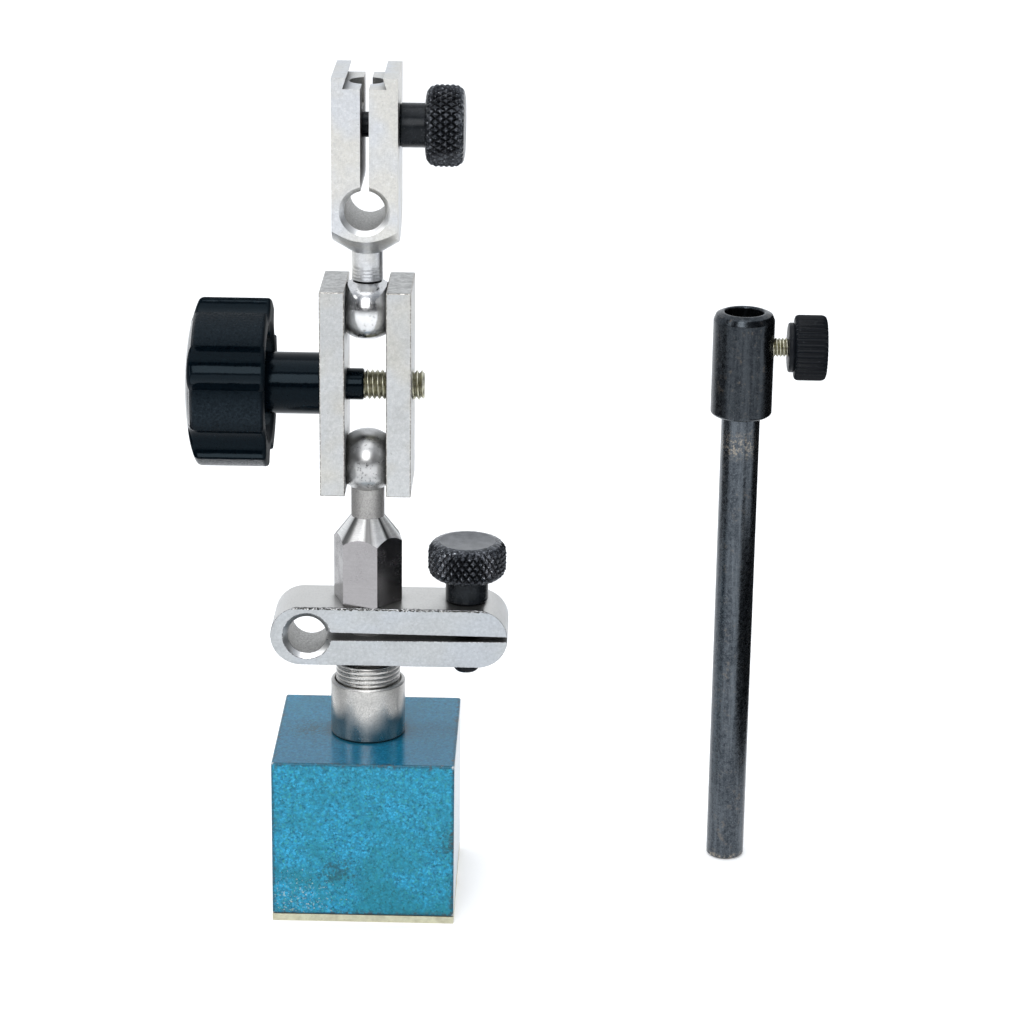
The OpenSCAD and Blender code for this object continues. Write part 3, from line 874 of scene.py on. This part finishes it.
def base_post():
    """Threaded post with its relief neck and spigot."""
    lo, hi = box("base_post")
    bottom = box("post_collar")[1][2]
    floor = box("post_collar")[0][2]
    neck = box("clamp_bar")[0][2]
    top = neck - 1.0
    radius = hi[0]
    band, low_edge, high_edge = thread_band("post_thread", radius, 1.0, bottom - 1.5, top,
                                            depth=0.27, flat=0.45)
    under = [(0, lo[2]), (3.5, lo[2]), (4, lo[2] + 0.5), (4, floor), (radius, floor, 0),
             (radius, bottom - 1.6)]
    below = rows_mesh("post_low", rounded(under, 0.1) + [(low_edge, bottom - 1.5)], 96)
    over = [(4.6, top), (4.6, neck), (3.95, neck), (3.95, hi[2]), (0, hi[2])]
    above = rows_mesh("post_high", [(high_edge, top)] + rounded(over, 0.1), 96)
    return shade(join("post_body", [below, band, above]), 40)


def post_collar():
    """Plain sleeve with a small inner chamfer at the top."""
    lo, hi = box("post_collar")
    inner = box("base_post")[1][0]
    r = hi[0]
    profile = [(inner + 0.02, lo[2]), (r - 0.35, lo[2], 0), (r, lo[2] + 0.35), (r, hi[2] - 0.35),
               (r - 0.4, hi[2]), (inner + 0.35, hi[2]), (inner + 0.02, hi[2] - 0.4),
               (inner + 0.02, lo[2])]
    return shade(lathe("collar_sleeve", profile, 128, 0.12), 40)


# ---- pieces: bar and hexagon

def bore_tool(name, centre, radius, depth, chamfer):
    """Cutter for a bore along Y with a chamfer at each mouth."""
    half = depth / 2
    wide = radius + chamfer
    profile = [(0, -half - 1), (wide + 1, -half - 1), (radius, -half + chamfer),
               (radius, half - chamfer), (wide + 1, half + 1), (0, half + 1)]
    tool = lathe(name, profile, 96, 0)
    return stand(tool, (0, 1, 0), centre)


def drill(name, axis, start, radius, length):
    """Plain cutter from start along axis."""
    profile = [(0, 0), (radius, 0), (radius, length), (0, length)]
    return stand(lathe(name, profile, 64, 0), axis, start)


def bar_bore():
    """Centre of the bar's bore, a little inside the left round end's own centre."""
    lo, hi = box("clamp_bar")
    return lo[0] + (hi[2] - lo[2]) / 2 + 1.25, 0, (hi[2] + lo[2]) / 2


def clamp_bar():
    """Cross bar: full-round ends, chamfered bore and a slot that narrows to the right."""
    lo, hi = box("clamp_bar")
    end = (hi[2] - lo[2]) / 2
    bore_x, _, mid = bar_bore()
    left, right = lo[0] + end, hi[0] - end
    outline = arc_points(right, mid, end, -90, 90, 41) + arc_points(left, mid, end, 90, 270, 41)
    obj = prism("bar_body", outline, lo[1], hi[1])
    slot = [(bore_x, mid - 0.9), (hi[0] + 1, mid - 0.54), (hi[0] + 1, mid + 0.54),
            (bore_x, mid + 0.9)]
    screw_x = middle("bar_screw")[0]
    carve(obj, [bore_tool("bar_bore", bar_bore(), BORE, hi[1] - lo[1], 1),
                prism("bar_slot", slot, lo[1] - 1, hi[1] + 1),
                drill("bar_stud", (0, 0, 1), (0, 0, lo[2] - 1), 4, hi[2] - lo[2] + 2),
                drill("bar_hole", (0, 0, 1), (screw_x, 0, lo[2] - 1), 2.55, hi[2] - lo[2] + 2)])
    return soften(obj, 0.16)


def hex_ball_post():
    """Hexagon with a turned cone, a ball neck, and the stud in the bar's upper jaw."""
    lo, hi = box("hex_ball_post")
    seat = box("clamp_bar")[1][2]
    flats = 12.5 / 2
    corner = flats / math.cos(math.radians(30))
    cone, neck = seat + 13.1, seat + 18.25
    turn = 11.4    # degrees about Z
    angles = [math.radians(60 * k - turn) for k in range(6)]
    hexagon = [(corner * math.cos(a), corner * math.sin(a)) for a in angles]
    obj = prism("hex_body", hexagon, -neck - 1, -seat)
    obj.data.transform(Matrix.Rotation(-math.pi / 2, 4, "X"))
    turned = lathe("hex_cone", [(0, seat - 1), (corner - 0.35, seat - 1), (corner - 0.35, seat),
                                (corner + 0.4, seat + 0.5), (corner + 0.5, cone - 0.6),
                                (3.4, neck - 0.1), (3.4, neck), (0, neck)], 128, 0)
    carve(obj, [turned], "INTERSECT")
    soften(obj, 0.13)
    bake(obj)
    stem = lathe("hex_neck", [(0, neck - 1), (3.4, neck - 1), (3.4, hi[2]), (0, hi[2])], 96, 0.08)
    pick_finish(stem, 2)
    stud = lathe("hex_stud", [(0, lo[2]), (3.5, lo[2]), (4, lo[2] + 0.5), (4, seat + 0.5),
                              (0, seat + 0.5)], 96, 0.05)
    return shade(join("hex_post", [obj, stem, stud]), 35)


def thumb_screw(name, node, along, holder):
    """Knurled thumb screw along an axis, seated on the holder: shank, shoulder, and a head with
    rounded rims and a flat top."""
    lo, hi = box(node)
    seat = middle(node)
    seat[Y] = 0
    seat[along] = box(holder)[1][along]
    shank = (seat - lo)[along]
    total = (hi - seat)[along]
    radius = (hi - lo)[Y] / 2
    length = 5.0    # of the shoulder
    band, low_edge, high_edge = knurl_band(name + "_knurl", radius, length, total, 2.4, 2.3)
    steps = len(low_edge)
    foot = [(0, -shank), (2.1, -shank), (2.5, 0.4 - shank), (2.5, 0), (4.0, 0), (4.4, 0.4),
            (4.4, length), (radius - 2.7, length)]
    below = rows_mesh(name + "_foot", rounded(foot, 0.12) + [(low_edge, length)], steps)
    crown = [(radius - 2.4, total), (radius - 2.6, total - 0.05), (0, total - 0.05)]
    above = rows_mesh(name + "_crown", [(high_edge, total)] + crown, steps)
    pick_finish(above, 1)
    pick_finish(band, 2)
    obj = join(name, [below, band, above])
    return shade(stand(obj, [k == along for k in range(3)], seat), 24, False)


# ---- pieces: swivel

def ball(node, neck_up):
    """Ball with a flat at its neck."""
    lo, hi = box(node)
    radius = (hi[1] - lo[1]) / 2
    centre = lo[2] + radius if neck_up else hi[2] - radius
    flat = hi[2] - centre if neck_up else centre - lo[2]
    start = -math.acos(flat / radius)
    edge = radius * math.sin(-start)
    profile = [(0, flat), (edge * 0.999, flat)]
    for k in range(1, 61):
        a = math.pi - (math.pi + start) * (1 - k / 60)
        profile.append((radius * math.sin(a), radius * math.cos(a)))
    profile[-1] = (0, -radius)
    obj = weld(rows_mesh(node + "_piece", profile, 96))
    return shade(stand(obj, (0, 0, 1 if neck_up else -1), (0, 0, centre)), 40)


def plate(which, side):
    """Clamping plate with a spherical socket at each end and a hole for the screw."""
    lo, hi = box(which + "_plate")
    low_ball = box("lower_ball")
    high_ball = box("upper_ball")
    radius = (high_ball[1][1] - high_ball[0][1]) / 2
    centres = [low_ball[1][2] - radius, high_ball[0][2] + radius]
    socket = radius + 0.05
    arc = [(socket * math.sin(a), -socket * math.cos(a)) for a in np.linspace(0, math.pi, 49)]
    arc[0], arc[-1] = (0, -socket), (0, socket)
    obj = block(which + "_clamp_plate", lo, hi)
    tools = []
    for k, z in enumerate(centres):
        tools.append(stand(weld(rows_mesh(f"socket_{k}", arc, 96)), (side, 0, 0), (0, 0, z)))
    hole = 3.25 if side < 0 else 3.05
    tools.append(drill("plate_hole", (1, 0, 0), (lo[0] - 1, 0, sum(centres) / 2), hole,
                       hi[0] - lo[0] + 2))
    carve(obj, tools)
    return soften(obj, 0.35, 4)


def knob_outline(radius, steps):
    """The knob's outline: six wide lobes with narrow round scallops between them."""
    angle = ring(steps)
    off = np.mod(angle - LOBE_TURN, math.pi / 3) - math.pi / 6
    centre = radius + SCOOP_REACH
    inside = np.maximum(SCOOP ** 2 - (centre * np.sin(off)) ** 2, 0)
    dip = centre * np.cos(off) - np.sqrt(inside)
    dip = np.where(centre * np.abs(np.sin(off)) < SCOOP, dip, radius + 3)
    soft = 0.2
    return -soft * np.log(np.exp(-dip / soft) + np.exp(-(radius + 0.05) / soft))


def star_knob():
    """Six-lobed knob: domed front, hollow back, hub, and a boss through the left plate."""
    lo, hi = box("star_knob")
    radius = (hi[1] - lo[1]) / 2
    plate_face = box("left_plate")[0][0]
    hub = 10.55          # from the knob's back to the plate
    back = plate_face - hub
    front = back - lo[0]
    z = middle("left_plate")[2]
    steps = 720
    outline = np.minimum(knob_outline(radius, steps), radius)

    def dome(r):
        t = np.asarray(r) / radius
        return front - 2.1 * t ** 2 - 0.67 * t ** 8

    hub_radius, hollow = 6.25, 4.6
    rows = [(0, -hub), (hub_radius - 0.35, -hub), (hub_radius - 0.05, -hub + 0.08),
            (hub_radius, -hub + 0.3)]
    rows += [(hub_radius, h) for h in np.linspace(-hub + 0.6, hollow - 0.4, 12)]
    rows += [(hub_radius + 0.25, hollow - 0.1), (hub_radius + 0.95, hollow)]
    wall = np.minimum(radius - 4.9, outline - 1.4)
    rows += [(wall - 0.6, hollow - 0.2), (wall - 0.15, hollow - 0.8), (wall, 2.6), (wall + 0.1, 0.5),
             (wall + 0.25, 0.12), (wall + 0.45, 0.0)]
    rows += [(outline - 0.75, 0.0), (outline - 0.3, 0.1), (outline - 0.08, 0.32), (outline, 0.7)]
    round_edge = 1.3     # of the front rim
    inner = outline - round_edge
    shoulder = dome(inner)
    rows += [(outline, 0.7 + (shoulder - round_edge - 0.7) * t) for t in np.linspace(0.08, 1, 10)]
    for a in np.radians(np.linspace(12, 90, 8)):
        rows.append((inner + round_edge * np.cos(a), shoulder - round_edge * (1 - np.sin(a))))
    for t in np.linspace(0.94, 0.03, 24):
        rows.append((inner * t, dome(inner * t)))
    rows.append((0, front))
    body = stand(weld(rows_mesh("knob_moulding", rows, steps)), (-1, 0, 0), (back, 0, z))
    boss = lathe("knob_boss", [(0, plate_face - 1), (3.2, plate_face - 1), (3.2, -0.95),
                               (2.9, -0.65), (0, -0.65)], 96, 0.12)
    stand(boss, (1, 0, 0), (0, 0, z))
    return shade(join("knob_body", [body, boss]), 42, False)


def threaded(name, radius, pitch, low, high, steps):
    """A threaded stud along +Z with chamfered ends."""
    band, low_edge, high_edge = thread_band(name + "_thread", radius, pitch, low, high, steps)
    below = rows_mesh(name + "_low", [(0, low), (low_edge, low)], steps)
    above = rows_mesh(name + "_high", [(high_edge, high), (0, high)], steps)
    return join(name, [below, band, above])


def knob_stud():
    """M6 stud, from inside the boss to its free end."""
    obj = threaded("stud_m6", 3.0, 1.0, -0.9, box("knob_stud")[1][0], 72)
    return shade(stand(obj, (1, 0, 0), (0, 0, middle("knob_stud")[2])), 30, False)


# ---- pieces: indicator clamp

def dovetail_clamp():
    """Split clamp block on its turned neck, with bore, slot, dovetail groove and recess."""
    lo, hi = box("dovetail_clamp")
    neck, depth = 3.1, hi[1] - lo[1]
    foot = lo[2] + 6.1
    face = foot + 0.64 * (depth / 2 - neck)
    wide = math.hypot(hi[0], depth / 2) + 1
    screw_z = middle("holder_screw")[2]
    bore_z = screw_z - BORE_BELOW_SCREW
    obj = block("clamp_block", [lo[0], lo[1], foot], hi)
    cone = lathe("clamp_cone", [(0, foot), (neck, foot), (depth / 2, face),
                                (wide, face + wide - depth / 2), (wide, hi[2] + 1),
                                (0, hi[2] + 1)], 128, 0)
    carve(obj, [cone], "INTERSECT")
    top = hi[2]
    groove = [(-4.3, top - 2.2), (4.3, top - 2.2), (3.6, top), (3.6, top + 1), (-3.6, top + 1),
              (-3.6, top)]
    carve(obj, [bore_tool("clamp_bore", (0, 0, bore_z), BORE, depth, 1),
                block("clamp_slot", [-0.85, lo[1] - 1, bore_z], [0.85, hi[1] + 1, top + 1]),
                prism("clamp_groove", groove, lo[1] - 1, hi[1] + 1),
                drill("clamp_recess", (0, 0, 1), (0, 0, top - 7.2), 3.5, 7),
                drill("clamp_hole", (1, 0, 0), (-5.0, 0, screw_z), 2.55, 14)])
    soften(obj, 0.15)
    bake(obj)
    stem = [(0, lo[2])] + [(neck - 0.06 * (k % 2), lo[2] + 0.3 + 0.35 * k) for k in range(8)]
    stem += [(neck, lo[2] + 3.2), (neck, foot + 0.4), (0, foot + 0.4)]
    neck_part = lathe("clamp_neck", stem, 96, 0.08)
    return shade(join("clamp_piece", [obj, neck_part]), 35)


# ---- pieces: extension rod

def rod_axis():
    """The rod's X and Y."""
    return tuple(middle("rod_shank")[:2])


def rod_shank():
    """Plain shank with a hole in its foot and a narrower end inside the head."""
    lo, hi = box("rod_shank")
    head = box("rod_head")[0][2]
    profile = [(0, lo[2] + 10), (2.1, lo[2] + 10), (2.1, lo[2] + 0.35), (2.45, lo[2]),
               (3.5, lo[2]), (4, lo[2] + 0.5), (4, head), (3.5, head), (3.5, hi[2]), (0, hi[2])]
    obj = lathe("rod_bar", profile, 96, 0.12)
    return shade(stand(obj, (0, 0, 1), (*rod_axis(), 0)), 40)


def rod_head():
    """Socket head with a cross hole for its screw."""
    lo, hi = box("rod_head")
    radius = (hi[0] - lo[0]) / 2
    top = hi[2]
    shank_top = box("rod_shank")[1][2]
    profile = [(3.52, lo[2]), (radius - 0.5, lo[2]), (radius, lo[2] + 0.5), (radius, top - 1.7),
               (radius - 0.5, top - 0.5), (radius - 1.7, top), (4.25, top), (4.0, top - 0.3),
               (4.0, shank_top), (3.52, shank_top), (3.52, lo[2])]
    obj = lathe("rod_socket_head", profile, 128, 0.2)
    stand(obj, (0, 0, 1), (*rod_axis(), 0))
    screw_z = middle("rod_screw_stud")[2]
    carve(obj, [drill("head_hole", (1, 0, 0), (*rod_axis(), screw_z), 2.05, radius + 1)])
    return shade(obj, 40)


def rod_screw_knob():
    """Small knob with moulded ridges, rounded rims and a flange."""
    lo, hi = box("rod_screw_knob")
    z = middle("rod_screw_knob")[2]
    radius = 6.8
    steps = 36 * 10
    wave = 0.5 - 0.5 * np.cos(36 * TAU * np.arange(steps) / steps)
    rim = radius - 0.45 * wave ** 0.8
    length = hi[0] - lo[0]
    rows = [(0, 0), (2.0, 0), (4.6, 0.0), (5.0, 0.12), (5.15, 0.4), (5.15, 1.0), (5.0, 1.3)]
    rows += [(rim - 0.9, 1.3), (rim - 0.35, 1.45), (rim - 0.08, 1.8), (rim, 2.3)]
    rows += [(rim, length - 1.2), (rim - 0.1, length - 0.7), (rim - 0.4, length - 0.25),
             (rim - 1.0, length - 0.02), (5.2, length), (4.7, length - 0.25), (0, length - 0.25)]
    obj = weld(rows_mesh("rod_knob", rows, steps))
    return shade(stand(obj, (1, 0, 0), (lo[0], rod_axis()[1], z)), 40, False)


def rod_screw_stud():
    """M4 screw of the rod's head."""
    start = box("rod_screw_stud")[0][0]
    length = box("rod_screw_knob")[0][0] - start + 0.3
    obj = threaded("screw_m4", 2.0, 0.7, 0, length, 64)
    centre = (start, rod_axis()[1], middle("rod_screw_stud")[2])
    return shade(stand(obj, (1, 0, 0), centre), 30, False)


# ---- assembly

def finish_kept(node, material, width):
    """A CAD node that stays, with its edges broken and a finish."""
    obj = frame["nodes"][node]
    obj.data.materials.clear()
    obj.data.materials.append(material)
    merge = obj.modifiers.new("weld", "WELD")
    merge.merge_threshold = 0.002 * MM
    add_bevel(obj, width, 3, 30)


def install(obj, body, node, slot, *finishes):
    """A built piece takes the place of its CAD node. Its faces' material index picks a finish."""
    index = np.zeros(len(obj.data.polygons), np.int32)
    obj.data.polygons.foreach_get("material_index", index)
    obj.data.materials.clear()
    for finish in finishes:
        obj.data.materials.append(finish)
    obj.data.polygons.foreach_set("material_index", np.minimum(index, len(finishes) - 1))
    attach(obj, body)
    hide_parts(node)


def build():
    """Every piece with its body, CAD node, slot and finishes."""
    paint = blue_paint(*box("base_housing"))
    pole = pole_steel()
    brass = plain_metal("brass_strip", (0.55, 0.40, 0.16), (0.78, 0.60, 0.28), 0.34)
    ferrite = plain_metal("ferrite", (0.05, 0.05, 0.055), (0.12, 0.12, 0.125), 0.6, 0.3)
    zinc = plain_metal("zinc_screw", (0.50, 0.50, 0.51), (0.74, 0.74, 0.75), 0.3)
    bar_face, bar_top = box("clamp_bar")[0][1], box("clamp_bar")[1][2]
    turned = turned_steel("collar_steel", (0.55, 0.54, 0.52), 0.27, 0.3)
    milled = turned_steel("hexagon_steel", (0.32, 0.31, 0.315), 0.20, 0.10,
                          cone=(bar_top + 11.5, bar_top + 18.2))
    neck = turned_steel("neck_steel", (0.49, 0.48, 0.465), 0.50, 0.35)
    bar_x, _, bar_z = bar_bore()
    # top is a lighter tone painted on the faces that point up, as painted light
    bar = plated_steel("bar_steel", (0.06, 1, 1), (0.45, 0.47, 0.49), 0.32, 0.4,
                       [(bar_x, bar_z, BORE)], bruise=(bar_face, bar_top), top=(0.62, 0.61, 0.59))
    plates = plated_steel("plate_steel", (1, 1, 0.08), (0.51, 0.51, 0.50), 0.34, 0.8, grime=0.85,
                          top=(0.60, 0.60, 0.585))
    clamp = plated_steel("clamp_steel", (1, 1, 0.08), (0.64, 0.64, 0.64), 0.34, 1.0,
                         [(0, middle("holder_screw")[2] - BORE_BELOW_SCREW, BORE)])
    bar_edge = steel_edge("bar_edge_steel", (0.11, 0.11, 0.115), (0.72, 0.73, 0.74))
    plate_edge = steel_edge("plate_edge_steel", (0.28, 0.27, 0.25), (0.66, 0.64, 0.60))
    polished = ball_steel()
    oxides = black_oxide(), rubbed_oxide(), knurled_oxide()
    yellow = yellow_zinc()
    rod = black_rod()
    kept = (("pole_plate_front", pole, 0.25), ("pole_plate_rear", pole, 0.25),
            ("pole_spacer", brass, 0.05), ("magnet_spacer", brass, 0.05),
            ("magnet_front", ferrite, 0.2), ("magnet_rear", ferrite, 0.2),
            ("pole_screws", zinc, 0.05))
    for node, material, width in kept:
        finish_kept(node, material, width)
    built = (
        (base_housing(), "base", "base_housing", "blue_paint", paint),
        (base_post(), "base", "base_post", "turned_steel", turned),
        (post_collar(), "base", "post_collar", "turned_steel", turned),
        (clamp_bar(), "bar", "clamp_bar", "ground_steel", bar, bar_edge),
        (hex_ball_post(), "bar", "hex_ball_post", "turned_steel", milled, milled, neck),
        (thumb_screw("bar_thumb_screw", "bar_screw", Z, "clamp_bar"), "bar_screw", "bar_screw",
         "black_oxide", *oxides),
        (ball("lower_ball", False), "lower_ball", "lower_ball", "polished_steel", polished),
        (ball("upper_ball", True), "upper_ball", "upper_ball", "polished_steel", polished),
        (plate("left", -1), "arm", "left_plate", "ground_steel", plates, plate_edge),
        (plate("right", 1), "outer_plate", "right_plate", "ground_steel", plates, plate_edge),
        (star_knob(), "knob", "star_knob", "black_plastic", gloss_plastic()),
        (knob_stud(), "knob", "knob_stud", "yellow_zinc", yellow),
        (dovetail_clamp(), "holder", "dovetail_clamp", "ground_steel", clamp, plate_edge),
        (thumb_screw("clamp_thumb_screw", "holder_screw", X, "dovetail_clamp"), "holder_screw",
         "holder_screw", "black_oxide", *oxides),
        (rod_shank(), "rod", "rod_shank", "black_rod", rod),
        (rod_head(), "rod", "rod_head", "black_rod", rod),
        (rod_screw_knob(), "rod_screw", "rod_screw_knob", "ridged_plastic", satin_plastic()),
        (rod_screw_stud(), "rod_screw", "rod_screw_stud", "yellow_zinc", yellow))
    for piece in built:
        install(*piece)


# ---- studio

def card(name, width, depth, z):
    """A flat rectangle about the Z axis."""
    x, y = width / 2, depth / 2
    return make(name, [(-x, -y, z), (x, -y, z), (x, y, z), (-x, y, z)], [[0, 1, 2, 3]])


def floor():
    """Plain pale floor, level with the base's underside."""
    bottom = box("pole_spacer")[0][2]
    obj = card("studio_floor", 12000, 12000, bottom)
    n = Nodes("floor_white")
    n.color = n.blend(n.noise(0.004, 2, 0.5), (0.86, 0.865, 0.87), (0.89, 0.89, 0.89))
    n.put(n.shader.inputs["Emission Color"], n.color)
    n.shader.inputs["Emission Strength"].default_value = 0.26
    obj.data.materials.append(n.finish(0.85, 0.0))


def aim(obj, centre, turn):
    """Moves an object to centre and turns it, in degrees about X, Y and Z."""
    obj.location = Vector(centre) * MM
    obj.rotation_euler = [math.radians(a) for a in turn]


def lamp(name, kind, energy, centre, turn, **settings):
    """A soft light."""
    data = bpy.data.lights.new(name, kind)
    data.energy = energy
    for key, value in settings.items():
        setattr(data, key, value)
    aim(add_object(name, data), centre, turn)


def flag(name, centre, size):
    """A black studio card beside the stand, which only reflections see."""
    obj = card(name, *size, 0)
    n = Nodes(name + "_cloth")
    n.color = n.blend(n.noise(0.02), (0.004, 0.004, 0.005), (0.009, 0.009, 0.010))
    obj.data.materials.append(n.finish(0.9, 0.0))
    aim(obj, centre, (90, 0, 90))
    for part in ("camera", "diffuse", "transmission", "shadow", "volume_scatter"):
        setattr(obj, "visible_" + part, False)


def world():
    """Pale behind the stand. Above the camera it is dark near the horizon and grey overhead, so
    that polished surfaces have contrast."""
    room = bpy.data.worlds.new("studio_room")
    bpy.context.scene.world = room
    room.use_nodes = True
    n = Tree(room.node_tree, "Background")
    _, y, z = n.parts(n.add("TexCoord", {}).outputs["Generated"])
    smooth = {"interpolation_type": "SMOOTHSTEP"}
    ahead = n.blend(n.ramp(z, 0.35, 0.9, **smooth), (0.035, 0.035, 0.04), (0.42, 0.45, 0.50))
    tone = n.blend(n.ramp(y, 0.15, -0.35, **smooth), (0.93, 0.96, 1.0), ahead)
    n.put(n.shader.inputs["Color"], tone)
    n.shader.inputs["Strength"].default_value = 1.08


def studio():
    floor()
    world()
    lamp("key_light", "AREA", 1.5, (-40, -510, 430), (58, 0, -4), shape="RECTANGLE",
         size=250 * MM, size_y=330 * MM)
    lamp("left_light", "AREA", 0.8, (-520, -300, 420), (58, 0, -60), shape="RECTANGLE",
         size=160 * MM, size_y=420 * MM)
    lamp("overhead", "SUN", 1.15, (0, 0, 0), (7, -4, 0), angle=math.radians(52))
    flag("left_flag", (-125, 35, 27.5), (230, 65))
    flag("right_flag", (125, 35, 27.5), (230, 65))
    flag("rod_flag", (125, 81, 112.5), (138, 105))
    view = bpy.context.scene.view_settings
    view.view_transform = "Standard"
    view.look = "None"


def camera():
    """Looks down on the stand by nearly 19 degrees, from a little to the right."""
    target = Vector((28.015, 0, 85.458)) * MM
    turn, tilt, roll = (math.radians(a) for a in (1.0, 18.791, 0.732))
    distance = 657.8 * MM
    ahead = Vector((-math.sin(turn) * math.cos(tilt), math.cos(turn) * math.cos(tilt),
                    -math.sin(tilt)))
    data = bpy.data.cameras.new("photo_camera")
    data.sensor_width = 36
    data.lens = 114.87
    data.clip_start = 0.01
    data.clip_end = 50
    obj = add_object("photo_camera", data)
    look = ahead.to_track_quat("-Z", "Y").to_matrix().to_4x4()
    leaning = Matrix.Rotation(roll, 4, "Z")
    obj.matrix_world = Matrix.Translation(target - ahead * distance) @ look @ leaning
    bpy.context.scene.camera = obj


build()
studio()
camera()
bpy.context.view_layer.update()
